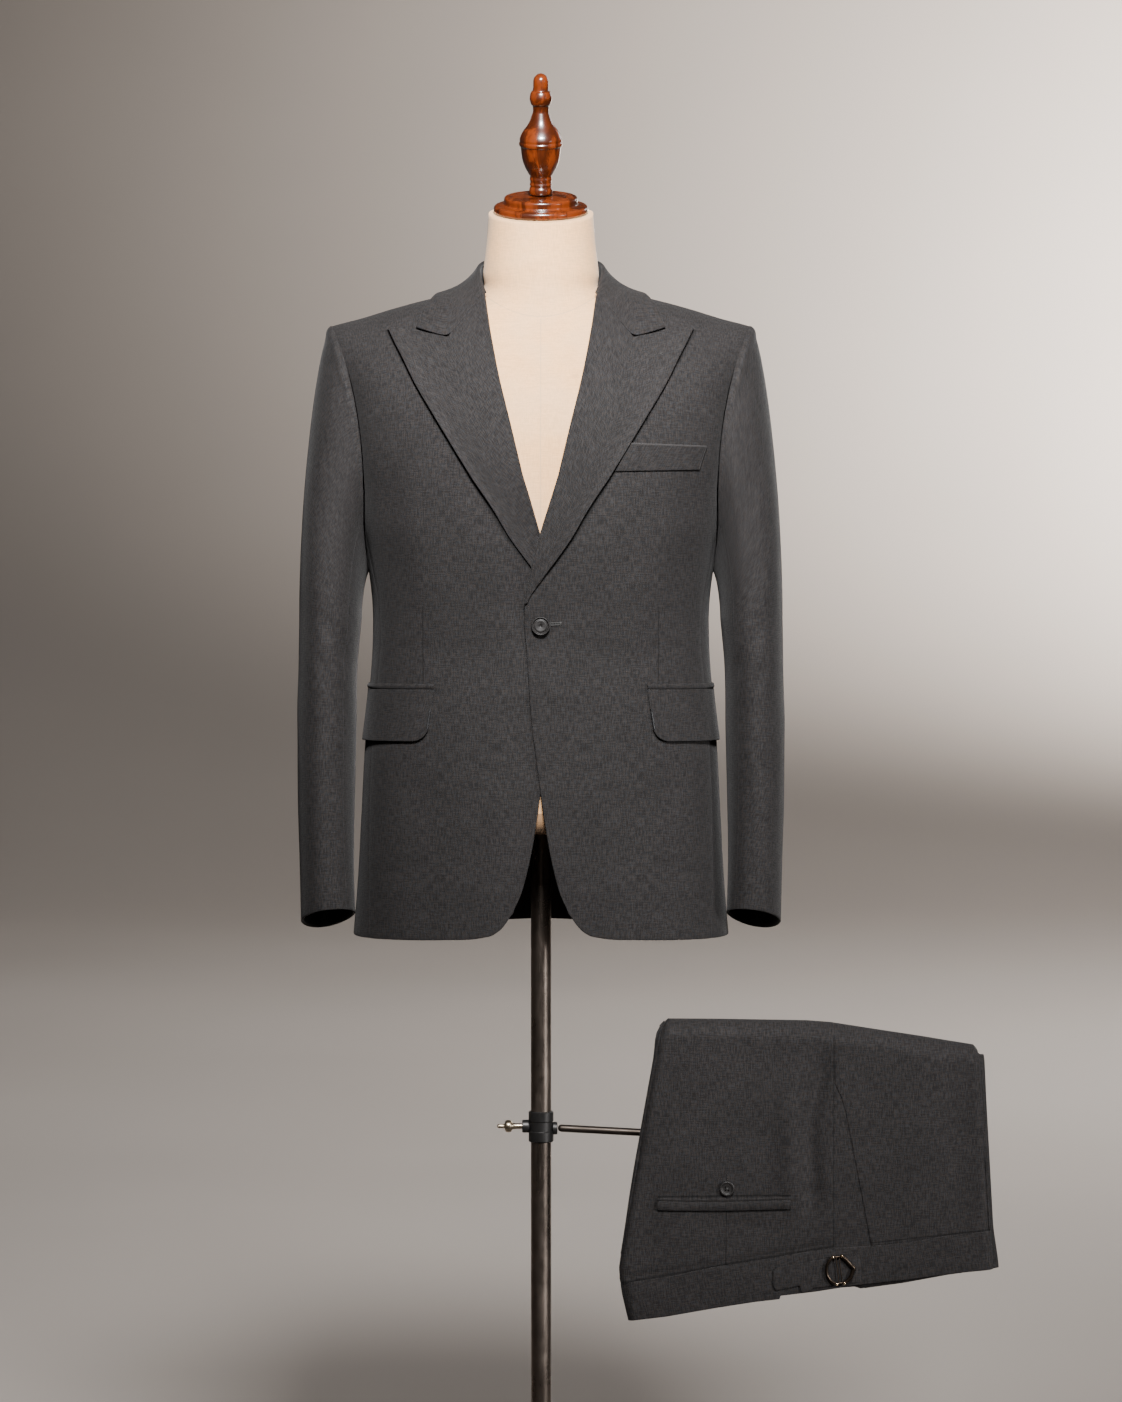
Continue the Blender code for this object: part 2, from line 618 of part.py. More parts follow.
def lapel_grid(across=7, up=15):
    """The left lapel from its roll line to its outer edge and up to the gorge, notch and peak."""
    edge = flat_points(LAPEL_EDGE[:, 1], LAPEL_EDGE[:, 0])
    at = np.linspace(edge[0, 1], edge[-1, 1], up)
    right = np.stack([curve(at, edge[:, ::-1]), at], axis=1)
    roll = flat_points(FRONT_EDGE[9:-1, 1], FRONT_EDGE[9:-1, 0])
    at = np.linspace(roll[0, 1] + 0.0002, roll[-1, 1], up)
    left = np.stack([curve(at, roll[:, ::-1]), at], axis=1)
    top = flat_points(LAPEL_TOP[:, 0], LAPEL_TOP[:, 1])
    top = through(top, across, 4, 3)
    bottom = left[0] + np.linspace(0, 1, across)[:, None] * (right[0] - left[0])
    left[-1], right[-1] = top[0], top[-1]
    return coons(bottom, top, left, right)


def lapel_lift(flat, under):
    """Height of a lapel's outer face above the front: highest near the roll line."""
    across = np.linspace(0, 1, flat.shape[0])[:, None]
    z = flat[..., 1]
    free = np.clip((z - 1.235) / 0.06, 0, 1) if under else np.clip((z - 1.170) / 0.05, 0, 1)
    return LAPEL_GAP + CLOTH + ROLL * (1 - across) ** 2 * free


def collar_points(columns=10, rows=8):
    """Half of the collar from nape to front: [column, row], rows from the neck seam to the edge."""
    share = np.linspace(0, 1, columns)
    fold = along(COLLAR_FOLD, columns)
    neck = stand_foot(share)
    edge = collar_edge(share)
    mid = collar_middle(fold, edge, share)
    w = np.linspace(0, 1, rows)[None, :, None]
    fall = (1 - w) ** 2 * fold[:, None] + 2 * w * (1 - w) * mid[:, None] + w * w * edge[:, None]
    front = through(COLLAR_FRONT, rows, 4, rows - 3)
    target = body(flat_points(front[:, 0], front[:, 1])) - (0, LAPEL_GAP + CLOTH, 0)
    target[0] = fold[-1]
    near = np.clip((share - 0.55) / 0.45, 0, 1)[:, None, None] ** 1.6
    fall = kept_clear(fall + near * (target - fall[-1])[None], LAPEL_GAP + CLOTH)
    stand = np.stack([neck + (fold - neck) * k for k in (0, 0.5)], axis=1)
    return np.concatenate([stand, fall], axis=1)


def kept_clear(points, lift):
    """The points, pushed out where they lie less than lift outside the jacket's shoulders."""
    x, y, z = np.moveaxis(points, -1, 0)
    top = curve(np.abs(x), SHOULDER)
    high = np.maximum(z - CHEST, 0) / (top - CHEST)
    ahead = np.abs(y) / np.where(y < 0, reach(x, z), reach(x, z, True))
    push = np.maximum((1 + lift / 0.15) / np.hypot(high, ahead), 1)
    return np.stack([x, y * push, CHEST + (z - CHEST) * push], axis=-1)


def stand_foot(share):
    """Neck seam inside the collar, from the nape to the front."""
    turn = share * np.radians(142)
    radius = 0.0690 - 0.0008 * np.sin(np.clip(turn, 0, np.pi / 2))
    rise = np.interp(share, [0, 0.6, 1], [1.5065, 1.510, 1.4980])
    foot = np.stack([radius * np.sin(turn), radius * np.cos(turn), rise], axis=1)
    last = COLLAR_FOLD[-1] + (-0.0004, 0.0030, -0.0005)
    blend = np.clip((share - 0.6) / 0.4, 0, 1)[:, None]
    return foot * (1 - blend) + last * blend


def collar_edge(share):
    """Outer edge of the collar on the shoulders, from the nape to its front corner."""
    across = np.array([
        (0.0, 0.0, 1.4985), (0.18, 0.040, 1.4985), (0.36, 0.080, 1.4960), (0.55, 0.1065, 1.4962),
        (0.72, 0.1147, 1.4924), (0.86, 0.1245, 1.4795), (1.0, 0.1325, 1.4592),
    ])
    place = curve(share, across)
    x, z = place[:, 0], place[:, 1]
    depth = np.array([(0, 0.0840), (0.18, 0.0800), (0.36, 0.0560), (0.55, 0.004), (0.60, -0.004)])
    side = np.array([curve(s, depth) for s in share])
    lift = LAPEL_GAP + CLOTH
    front = body(flat_points(x, np.minimum(z, curve(x, SHOULDER) - 0.0002)))
    y = np.where(share < 0.6, side, front[:, 1] - lift)
    edge = np.stack([x, y, np.where(share < 0.6, z + 0.004, front[:, 2] + 0.001)], axis=1)
    return edge


def collar_middle(fold, edge, share):
    """Where the fall bends from standing at the fold to lying on the shoulder."""
    flat = edge[:, :2] - fold[:, :2]
    out = fold[:, :2] + 0.22 * flat
    drop = np.interp(share, [0, 0.5, 1], [0.50, 0.66, 0.50])
    z = fold[:, 2] + drop * (edge[:, 2] - fold[:, 2])
    return np.concatenate([out, z[:, None]], axis=1)


def armhole_loop(angle):
    """Armhole seam by angle: zero at the shoulder tip, a quarter turn in front."""
    low, high = ARMHOLE[0, 0], ARMHOLE[-1, 0]
    z = (low + high) / 2 + (high - low) / 2 * np.cos(angle)
    x = armhole_x(z)
    front = body(flat_points(x, z))
    back = body(flat_points(x, z), back=True)
    loop = np.where((np.sin(angle) > 0)[:, None], front, back)
    ends = np.abs(np.sin(angle)) < 1e-6
    loop[ends, 1] = 0
    return loop


def sleeve_section(angle, z):
    """Section of the left sleeve at a height."""
    ring = curve(z, SLEEVE)
    middle, half = (ring[..., 0] + ring[..., 1]) / 2, (ring[..., 0] - ring[..., 1]) / 2
    c, s = np.cos(angle), np.sin(angle)
    x = middle + half * np.sign(c) * np.abs(c) ** (2 / 2.2)
    y = ring[..., 2] - ring[..., 3] * np.sign(s) * np.abs(s) ** (2 / 2.2)
    x = x + ring[..., 4] * np.maximum(y + 0.065, 0) * (1 - c) / 2
    return np.stack([x, y, z], axis=-1)


def sleeve_grid(start, end, around, cap=7, down=6):
    """Part of the left sleeve between two angles, from the armhole to the cuff."""
    angle = np.linspace(start, end, around)
    first = armhole_loop(angle)
    joined = sleeve_section(angle, np.full(around, SLEEVE_TOP))
    flat = (joined - first) * (1, 1, 0)
    first = first + flat * (0.0012 / np.linalg.norm(flat, axis=1, keepdims=True))
    out = first + 0.40 * flat
    over = joined + np.stack([0 * angle, 0 * angle, 0.45 * (first[:, 2] - SLEEVE_TOP)], axis=1)
    t = np.linspace(0, 1, cap)[None, :, None]
    crown = ((1 - t) ** 3 * first[:, None] + 3 * t * (1 - t) ** 2 * out[:, None]
             + 3 * t * t * (1 - t) * over[:, None] + t ** 3 * joined[:, None])
    cuff = CUFF + CUFF_SLOPE * np.sin(angle - 0.3)
    v = np.linspace(0, 1, down + 1)[None, 1:]
    z = SLEEVE_TOP + v * (cuff[:, None] - SLEEVE_TOP)
    arm = sleeve_section(np.repeat(angle[:, None], down, axis=1), z)
    return np.concatenate([crown, arm], axis=1)


def flap_grid(low, high, across=9, up=5, corner=True):
    """A band round the left hip between two heights, from its front end to past the side."""
    start = float(side_angle(np.array(FLAP_FRONT), np.array(FLAP_TOP), -1))
    angle = np.linspace(start, 0.16, across)[:, None]
    v = np.linspace(0, 1, up)[None, :]
    slope = -0.003 * np.linspace(0, 1, across)[:, None]
    cut_off = np.zeros((across, 1))
    if corner:
        cut_off[0], cut_off[1] = 0.0095, 0.0012
    z = low + cut_off + slope + v * (high - low - cut_off)
    return round_body(angle + 0 * v, z)


def build_jacket(mats):
    wool = mats["wool"]
    flat = front_grid()
    left = body(flat)
    right = mirrored(left)
    drop = tuck(flat)[::-1]
    cloth("jacket_front_left", left, wool)
    cloth("jacket_front_right", right, wool, lift=-drop)
    side = side_grid()
    cloth("jacket_side_left", side, wool)
    cloth("jacket_side_right", mirrored(side), wool)
    back = mirrored(body(back_grid(), back=True)) * (-1, 1, 1)
    cloth("jacket_back_left", back, wool, gap=SEAM)
    cloth("jacket_back_right", mirrored(back), wool, gap=SEAM)
    flat = lapel_grid()
    lapel = body(flat)
    cloth("lapel_left", lapel, wool, lift=lapel_lift(flat, False))
    under = lapel_lift(flat, True) - tuck(flat)
    cloth("lapel_right", mirrored(lapel), wool, lift=under[::-1])
    half = collar_points()
    whole = np.concatenate([(half * (-1, 1, 1))[:0:-1], half])
    cloth("collar", whole[:, ::-1], wool)
    build_sleeves(wool)
    build_front_details(wool, mats["horn"])


def build_sleeves(wool):
    top = sleeve_grid(HINDARM_SEAM - 2 * np.pi, FOREARM_SEAM, 13)
    under = sleeve_grid(FOREARM_SEAM, HINDARM_SEAM, 7)
    for name, grid in (("sleeve_top", top), ("sleeve_under", under)):
        cloth(name + "_left", grid, wool)
        cloth(name + "_right", mirrored(grid), wool)


def build_front_details(wool, horn):
    flap = flap_grid(FLAP_TOP - FLAP_DROP, FLAP_TOP - 0.0004)
    proud = THIN + 0.0007 + 0.0012 * np.linspace(1, 0, flap.shape[1])[None, :]
    cloth("pocket_flap_left", flap, wool, THIN, proud)
    cloth("pocket_flap_right", mirrored(flap), wool, THIN, proud)
    jet = flap_grid(FLAP_TOP + 0.0004, FLAP_TOP + JET_HEIGHT, up=2, corner=False)
    cloth("pocket_jet_left", jet, wool, THIN, THIN + 0.0007)
    cloth("pocket_jet_right", mirrored(jet), wool, THIN, THIN + 0.0007)
    low, high = along(WELT[[3, 2]], 6), along(WELT[[0, 1]], 6)
    flat = coons(low, high, along(WELT[[3, 0]], 3), along(WELT[[2, 1]], 3))
    welt = body(flat_points(flat[..., 0], flat[..., 1]))
    cloth("breast_pocket_welt", welt, wool, THIN, THIN + 0.0007)
    r = BUTTON_RADIUS
    profile = [(0, 0), (0.80 * r, 0), (r, 0.0008), (r, 0.0024), (0.92 * r, 0.0032),
               (0.78 * r, 0.0033), (0.66 * r, 0.0026),
               (0.45 * r, 0.0021), (0, 0.0019)]
    x, z = BUTTON_AT
    y = -float(reach(np.array(x), np.array(z))) - BUTTON_GAP
    turned("front_button", [(a, -b) for a, b in profile], horn, 20, at=(x, y, z), axis="y")


def build_form(mats):
    heights = np.unique(np.concatenate([FORM[:, 0], np.linspace(0.96, 1.19, 4)]))
    angle = np.linspace(0, 2 * np.pi, 36, endpoint=False)
    rings = []
    for z in heights:
        w, f, b, power = curve(np.array(z), FORM)
        c, s = np.cos(angle), np.sin(angle)
        x = w * np.sign(c) * np.abs(c) ** (2 / power)
        y = np.where(s < 0, f, b) * np.sign(s) * np.abs(s) ** (2 / power)
        lean = np.clip((z - 1.53) / (NECK_TOP - 1.53), 0, 1) * math.tan(NECK_TILT)
        rings.append(np.stack([x, y, z + lean * y], axis=1))
    lofted("form_torso", np.array(rings), mats["canvas"])
    turned("neck_cap", CAP, mats["mahogany"], 30, NECK_TILT, (0, 0, NECK_TOP))
    rise = CAP_HEIGHT
    at = (0, -rise * math.sin(NECK_TILT), NECK_TOP + rise * math.cos(NECK_TILT))
    turned("finial", FINIAL, mats["mahogany"], 22, NECK_TILT, at)


def build_stand(mats):
    steel = mats["pole"]
    turned("stand_base", BASE, mats["iron"], 36)
    ends = [(0, POLE_FOOT), (POLE_RADIUS, POLE_FOOT), (POLE_RADIUS, POLE_TOP), (0, POLE_TOP)]
    turned("stand_pole", ends, steel, 24)
    low, high, r = CLAMP_LOW, CLAMP_HIGH, CLAMP_RADIUS
    ring = [(CLAMP_BORE, low), (r - 0.001, low), (r, low + 0.001), (r + 0.0006, CLAMP_MIDDLE),
            (r, high - 0.001), (r - 0.001, high),
            (CLAMP_BORE, high), (CLAMP_BORE, low)]
    clamp = turned_ring("clamp_collar", ring, mats["iron"])
    middle = (0, 0, CLAMP_MIDDLE)
    boss = [(0, -0.0119), (0.0070, -0.0119), (0.0070, -0.0200), (0.0064, -0.0205), (0, -0.0205)]
    combined(clamp, turned("boss", boss, steel, 16, axis="x", at=middle), "UNION")
    flange = [(0, 0.0119), (0.00685, 0.0119), (0.00685, 0.0172), (0.0062, 0.0178), (0, 0.0178)]
    combined(clamp, turned("flange", flange, steel, 16, axis="x", at=(0, 0, ROD[0, 2])), "UNION")
    hole = [(0, -0.0090), (SCREW_BORE, -0.0090), (SCREW_BORE, -0.0250), (0, -0.0250)]
    combined(clamp, turned("hole", hole, steel, 16, axis="x", at=middle))
    turned("thumb_screw", SCREW, mats["brass"], 16, axis="x", at=(0, 0, CLAMP_MIDDLE))


def turned_ring(name, loop, made, segments=24, axis="z", at=(0, 0, 0)):
    """A ring turned from a closed loop of (radius, distance) pairs."""
    loop = np.array(loop[:-1])
    angle = np.linspace(0, 2 * np.pi, segments, endpoint=False)
    grid = np.array([[(r * math.cos(a), r * math.sin(a), d) for r, d in loop] for a in angle])
    m, n = grid.shape[:2]
    faces = []
    for i in range(m):
        for j in range(n):
            a, b = (i + 1) % m, (j + 1) % n
            faces.append([i * n + j, a * n + j, a * n + b, i * n + b])
    p = grid.reshape(-1, 3)
    p = p[:, [2, 0, 1]] if axis == "x" else p
    return add(name, p + np.array(at), faces, made)


def bundle(flat):
    """Points on the folded trousers at [.., (x, run)]: up the front face, then over the top fold."""
    x, run = flat[..., 0], flat[..., 1]
    top = np.interp(x, PANT_TOP[:, 0], PANT_TOP[:, 1]) - HALF
    turn = np.maximum(run - top, 0) / HALF
    z = np.minimum(run, top)
    from_left = x - np.interp(z, PANT_LEFT[:, 0], PANT_LEFT[:, 1])
    near = np.minimum(from_left, np.interp(z, PANT_RIGHT[:, 0], PANT_RIGHT[:, 1]) - x)
    near = np.clip(1 - near / EDGE_ROUND, 0, 1)
    radius = HALF - 0.6 * EDGE_ROUND * (1 - np.sqrt(np.clip(1 - near * near, 0, 1)))
    return np.stack([x, -radius * np.cos(turn), z + radius * np.sin(turn)], axis=-1)


def left_x(run):
    return np.interp(run, PANT_LEFT[:, 0], PANT_LEFT[:, 1])


def right_x(run):
    return np.interp(run, PANT_RIGHT[:, 0], PANT_RIGHT[:, 1])


def fold_run(x, turn):
    return np.interp(x, PANT_TOP[:, 0], PANT_TOP[:, 1]) - HALF + turn * HALF


def skin(left, right, share, up):
    """Grid on the bundle between two side lines, from the waistband seam over the top fold."""
    share = np.array(share)
    v = np.concatenate([np.linspace(0, 0.80, up - 6), np.linspace(0.84, 1, 6)])
    x0, x1 = float(left(np.array(0.45))), float(right(np.array(0.47)))
    bottom_x = x0 + share * (x1 - x0)
    bottom = np.stack([bottom_x, curve(bottom_x, PANT_BAND)], axis=1)
    t0, t1 = float(left(np.array(0.70))), float(right(np.array(0.69)))
    top_x = t0 + share * (t1 - t0)
    top = np.stack([top_x, fold_run(top_x, SKIN_TURN)], axis=1)
    z = bottom[0, 1] + v * (top[0, 1] - bottom[0, 1])
    side_l = np.stack([left(z), z], axis=1)
    z = bottom[-1, 1] + v * (top[-1, 1] - bottom[-1, 1])
    side_r = np.stack([right(z), z], axis=1)
    bottom[0], bottom[-1], top[0], top[-1] = side_l[0], side_r[0], side_l[-1], side_r[-1]
    return coons(bottom, top, side_l, side_r, share)


def seam_x(run):
    return np.full(np.shape(run), SIDE_SEAM)


def slant_x(run):
    return np.where(np.asarray(run) < SLANT[-1, 0], np.interp(run, SLANT[:, 0], SLANT[:, 1]), SIDE_SEAM)


def build_trousers(mats):
    wool = mats["trouser_wool"]
    rear = bundle(skin(left_x, seam_x, (0, 0.009, 0.022, 0.045, 0.25, 0.5, 0.75, 1), 12))
    cloth("trousers_back_left", rear, wool, THIN, gap=LOOSE)
    front = bundle(skin(slant_x, right_x, (0, 0.25, 0.5, 0.75, 0.94, 0.972, 0.988, 1), 12))
    cloth("trousers_front_left", front, wool, THIN, gap=LOOSE)
    build_facing(wool)
    share = np.concatenate([[0, 0.006, 0.012, 0.023], np.linspace(0.1, 0.9, 9), [0.977, 0.988, 0.994, 1]])
    x = BAND_ENDS[0] + share * (BAND_ENDS[1] - BAND_ENDS[0])
    z0, z1 = curve(x, PANT_BOTTOM), curve(x, PANT_BAND)
    z1[0], z1[-1] = BAND_CORNERS
    rows = np.linspace(0, 1, 3)
    band = np.stack([np.stack([x, z0 + k * (z1 - z0)], axis=1) for k in rows], axis=1)
    band[0, :, 0] = left_x(band[0, :, 1])
    cloth("waistband_left", bundle(band), wool, THIN)
    build_layers(wool)
    build_trouser_details(wool, mats)


def build_facing(wool):
    """The strip seen between the side seam and the slanting edge of the front pocket."""
    z = np.linspace(FACING_LOW, SLANT[-1, 0] - 0.012, 7)
    edge = np.interp(z, SLANT[:, 0], SLANT[:, 1]) - FACING_INSET
    share = np.linspace(0, 1, 3)[:, None]
    flat = np.stack([SIDE_SEAM + share * (edge - SIDE_SEAM), z + 0 * share], axis=-1)
    cloth("trousers_pocket_facing", bundle(flat), wool, THIN, -0.0004)


def outline_loop(count=34):
    """Outline of the bundle in the plane (x, z), and how much of each point lies on the top fold."""
    low, high = PANT_LEFT[0, 0], 0.7080
    left = np.stack([left_x(np.linspace(high, low, 60)), np.linspace(high, low, 60)], axis=1)
    x = np.linspace(0.0960, 0.4870, 80)
    bottom = np.stack([x, curve(x, PANT_BOTTOM) + 0.0015], axis=1)
    z = np.linspace(0.4490, 0.6820, 60)
    right = np.stack([right_x(z), z], axis=1)
    x = np.linspace(0.4720, 0.1330, 80)
    top = np.stack([x, np.interp(x, PANT_TOP[:, 0], PANT_TOP[:, 1])], axis=1)
    loop = np.concatenate([left, bottom[1:], right[1:], top[1:-1]])
    return along(np.concatenate([loop, loop[:1]]), count + 1)[:-1]


def build_layers(wool):
    """The folded cloth under the outer layer: one rounded body over the bar, open below along its slot."""
    loop = outline_loop()
    ahead = np.roll(loop, -1, axis=0) - np.roll(loop, 1, axis=0)
    out = np.stack([ahead[:, 1], -ahead[:, 0]], axis=1)
    out /= np.linalg.norm(out, axis=1, keepdims=True)
    crown = np.clip(1.6 * out[:, 1], 0, 1) * (loop[:, 1] > 0.66)
    inside = HALF - THIN - 0.0010
    peek = 0.0050 * np.clip(out[:, :1], 0, 1) ** 2 * (1, 0)
    stations = [(-inside, 0.0100), (-0.0180, 0.0062), (-0.0155, 0.0048), (-0.0135, 0.0044),
                (-0.0120, 0.0054), (-0.0105, 0.0016), (-0.0060, 0.0020), (0.0, 0.0034),
                (0.0065, 0.0018), (0.0115, 0.0016), (0.0130, 0.0042), (0.0145, 0.0016),
                (0.0190, 0.0020), (HALF, 0.0060)]
    rings = []
    for y, inset in stations:
        radius = inside if y < 0 else HALF
        bow = math.sqrt(max(radius * radius - y * y, 0)) * 0.999
        fold = radius + THIN * (y < 0) - bow + 0.0027 * (y < 0.010)
        by = (crown * (fold + 0.0008) + (1 - crown) * inset)[:, None]
        flat = loop - out * by + peek * (y > -0.0130)
        rings.append(np.stack([flat[:, 0], np.full(len(flat), y), flat[:, 1]], axis=1))
    layers = lofted("trousers_under_layers", np.array(rings), wool)
    x = np.linspace(0.05, 0.54, 12)
    high = np.interp(x, PANT_TOP[:, 0], PANT_TOP[:, 1]) - 0.0085
    slot = []
    for a, b in zip(x, high):
        arch = np.linspace(0, np.pi, 5)
        top = [(a, -SLOT * math.cos(t), b - SLOT + SLOT * math.sin(t)) for t in arch]
        slot.append([(a, SLOT, 0.36), (a, -SLOT, 0.36)] + top)
    combined(layers, lofted("slot", np.array(slot)[:, ::-1], wool))


def build_trouser_details(wool, mats):
    x0, x1, z0, z1 = HIP_WELT
    share = np.linspace(0, 1, 7)
    x = x0 + share * (x1 - x0)
    sag = -0.0012 * np.sin(np.pi * share) + 0.0015 * share
    welt = np.stack([np.stack([x, z + sag], axis=1) for z in (z0, (z0 + z1) / 2, z1)], axis=1)
    cloth("hip_pocket_welt", bundle(welt), wool, THIN, THIN + 0.0003)
    x = np.linspace(STRAP_ENDS[0], STRAP_ENDS[2], 11)
    x[1] = STRAP_ENDS[1]
    low, high = curve(x, STRAP_LOW), curve(x, STRAP_HIGH)
    strap = np.stack([np.stack([x, low + k * (high - low)], axis=1) for k in (0, 0.5, 1)], axis=1)
    cloth("adjuster_strap", bundle(strap), wool, THIN, THIN + 0.0003)
    r = HIP_BUTTON_RADIUS
    profile = [(0, 0), (0.8 * r, 0), (r, 0.0008), (r, 0.0020), (0.9 * r, 0.0026), (0.7 * r, 0.0026),
               (0.6 * r, 0.0019), (0, 0.0017)]
    at = (HIP_BUTTON[0], -HALF - 0.0004, HIP_BUTTON[1])
    turned("hip_pocket_button", [(a, -b) for a, b in profile], mats["horn"], 20, at=at, axis="y")
    w, h = BUCKLE_HALF
    angle = np.linspace(0, 2 * np.pi, 24, endpoint=False)
    ring = np.array([
        (0, 0), (0, -0.0016), (0.0008, -0.0022), (0.0022, -0.0022), (0.0030, -0.0016), (0.0030, 0),
    ])
    points = []
    y = -HALF - THIN - 0.0007
    for a in angle:
        c, s = math.cos(a), math.sin(a)
        c, s = math.copysign(abs(c) ** 0.85, c), math.copysign(abs(s) ** 0.85, s)
        points.append([(BUCKLE_AT[0] + (w - d) * c, y + e, BUCKLE_AT[1] + (h - d) * s) for d, e in ring])
    grid = np.array(points)
    m, n = grid.shape[:2]
    faces = [
        [i * n + j, (i + 1) % m * n + j, (i + 1) % m * n + (j + 1) % n, i * n + (j + 1) % n]
        for i in range(m) for j in range(n)
    ]
    add("adjuster_buckle", grid.reshape(-1, 3), faces, mats["bronze"])


def build_arm(mats):
    steel = mats["pole"]
    arm = tube("trouser_arm", along(ROD, 18), ROD_RADIUS, steel, 10)
    combined(arm, tube("bar", along(BAR, 6), BAR_RADIUS, steel, 12), "UNION")


def main():
    for obj in list(bpy.data.objects):
        bpy.data.objects.remove(obj)
    mats = {
        "wool": material("wool", (0.065, 0.063, 0.060), 0.85),
        "trouser_wool": material("trouser_wool", (0.05, 0.05, 0.05), 0.85),
        "horn": material("horn", (0.03, 0.025, 0.02), 0.35),
        "canvas": material("canvas", (0.68, 0.60, 0.48), 0.9),
        "mahogany": material("mahogany", (0.17, 0.045, 0.02), 0.25),
        "pole": material("pole", (0.32, 0.31, 0.30), 0.25, 1.0),
        "iron": material("iron", (0.10, 0.10, 0.10), 0.45, 0.8),
        "brass": material("brass", (0.45, 0.38, 0.26), 0.3, 1.0),
        "bronze": material("bronze", (0.16, 0.12, 0.09), 0.35, 1.0),
    }
    build_form(mats)
    build_stand(mats)
    build_arm(mats)
    build_jacket(mats)
    build_trousers(mats)


main()
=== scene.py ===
import math

import bmesh
import bpy
import numpy as np
from bpy.props import FloatProperty, FloatVectorProperty, PointerProperty
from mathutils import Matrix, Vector


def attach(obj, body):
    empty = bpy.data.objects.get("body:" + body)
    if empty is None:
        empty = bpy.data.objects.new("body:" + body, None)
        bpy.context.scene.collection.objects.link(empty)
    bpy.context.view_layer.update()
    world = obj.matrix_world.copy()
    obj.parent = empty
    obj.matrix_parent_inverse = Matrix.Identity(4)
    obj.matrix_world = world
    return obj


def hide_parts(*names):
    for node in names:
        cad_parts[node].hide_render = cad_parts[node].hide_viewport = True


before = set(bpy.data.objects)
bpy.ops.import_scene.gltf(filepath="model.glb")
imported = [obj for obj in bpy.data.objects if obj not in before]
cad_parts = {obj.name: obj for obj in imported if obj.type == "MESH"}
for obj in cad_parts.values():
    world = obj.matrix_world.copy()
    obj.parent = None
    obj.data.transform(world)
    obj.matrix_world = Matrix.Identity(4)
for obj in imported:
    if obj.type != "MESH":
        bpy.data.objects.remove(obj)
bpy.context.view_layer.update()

bl_info = {
    "name": "Suit on a dress form",
    "version": (1, 0, 0),
    "blender": (4, 5, 0),
    "location": "3D View > Sidebar > Suit",
    "description": "Dresses the suit's CAD frame with cloth, wood, metal and horn",
    "category": "Object",
}

# Cloth, in metres; the frame's own values, which part.py holds too
CLOTH = 0.002
THIN = 0.0013
LAPEL_GAP = 0.0008
ROLL = 0.0022
EDGE_CURL = 0.0034  # how far a lapel's outer edge springs up
JOIN = -0.0004  # sewn edges press into each other by this much
LEAST_CUT = 0.0105  # a strip's cut is at least this wide, with its turned edges
RIM = np.radians([62, 30, 0, -30, -62])  # angles of the rings round a cloth's edge
JACKET = ("stand", "jacket_wool")
TROUSERS = ("arm", "trouser_wool")

# Jacket body: rings, shoulder line, armhole and seams
POWER = 2.4
CHEST = 1.300
TURN = 0.280
SEAM_LEVEL = CHEST + TURN
HEM_FRONT = 0.8088
HEM_SIDE = 0.8100
HEM_BACK = 0.8160
FRONT_SEAM_TOP = 1.239
BACK_SEAM_TOP = 1.285
NAPE = 1.5030

# height, half width, depth in front, depth behind
BODY = np.array([
    (0.8, 0.2035, 0.122, 0.121), (0.867, 0.198, 0.122, 0.123), (0.948, 0.1935, 0.1215, 0.117),
    (1.013, 0.19, 0.1205, 0.106), (1.072, 0.185, 0.12, 0.094), (1.126, 0.1815, 0.1205, 0.088),
    (1.169, 0.182, 0.126, 0.093), (1.205, 0.1865, 0.131, 0.103), (1.25, 0.197, 0.135, 0.116),
    (1.3, 0.2045, 0.136, 0.124), (1.37, 0.217, 0.135, 0.127), (1.45, 0.235, 0.131, 0.127),
    (1.56, 0.25, 0.128, 0.127),
])
# distance from the centre, height of the shoulder line
SHOULDER = np.array([
    (0, 1.545), (0.04, 1.526), (0.069, 1.507), (0.104, 1.497), (0.127, 1.4915), (0.16, 1.4826),
    (0.193, 1.4725), (0.225, 1.464), (0.24, 1.459),
])
# height, distance of the armhole seam from the centre
ARMHOLE = np.array([
    (1.2, 0.1855), (1.239, 0.1898), (1.288, 0.1903), (1.331, 0.1922), (1.37, 0.1972),
    (1.409, 0.2055), (1.4432, 0.216), (1.464, 0.225),
])
# height, distance from the centre of the front edge and, above the button, of the roll line
FRONT_EDGE = np.array([
    (0.8395, 0.0299), (0.8601, 0.0207), (0.8758, 0.0162), (0.9071, 0.0094), (0.9355, 0.0047),
    (0.9649, 0.0006), (1.0521, -0.0102), (1.1177, -0.0146), (1.1462, -0.0168), (1.1678, -0.0162),
    (1.2316, -0.0009), (1.2961, 0.0186), (1.3489, 0.0313), (1.402, 0.0441), (1.4496, 0.0532),
    (1.4961, 0.0605), (1.5075, 0.069),
])
# distance from the centre, height of the hem in front
FRONT_HEM = np.array([
    (0.0299, 0.8395), (0.0391, 0.8258), (0.0506, 0.8164), (0.0629, 0.8133), (0.1054, 0.8105),
    (0.17, 0.809), (0.183, 0.8088),
])
# height, distance from the centre
FRONT_SEAM = np.array([
    (0.8, 0.1835), (1.013, 0.181), (1.08, 0.1755), (1.13, 0.1715), (1.175, 0.1745), (1.239, 0.1898),
])
BACK_SEAM = np.array([
    (0.8, 0.15), (0.95, 0.14), (1.12, 0.126), (1.18, 0.14), (1.235, 0.166), (1.285, 0.1902),
])
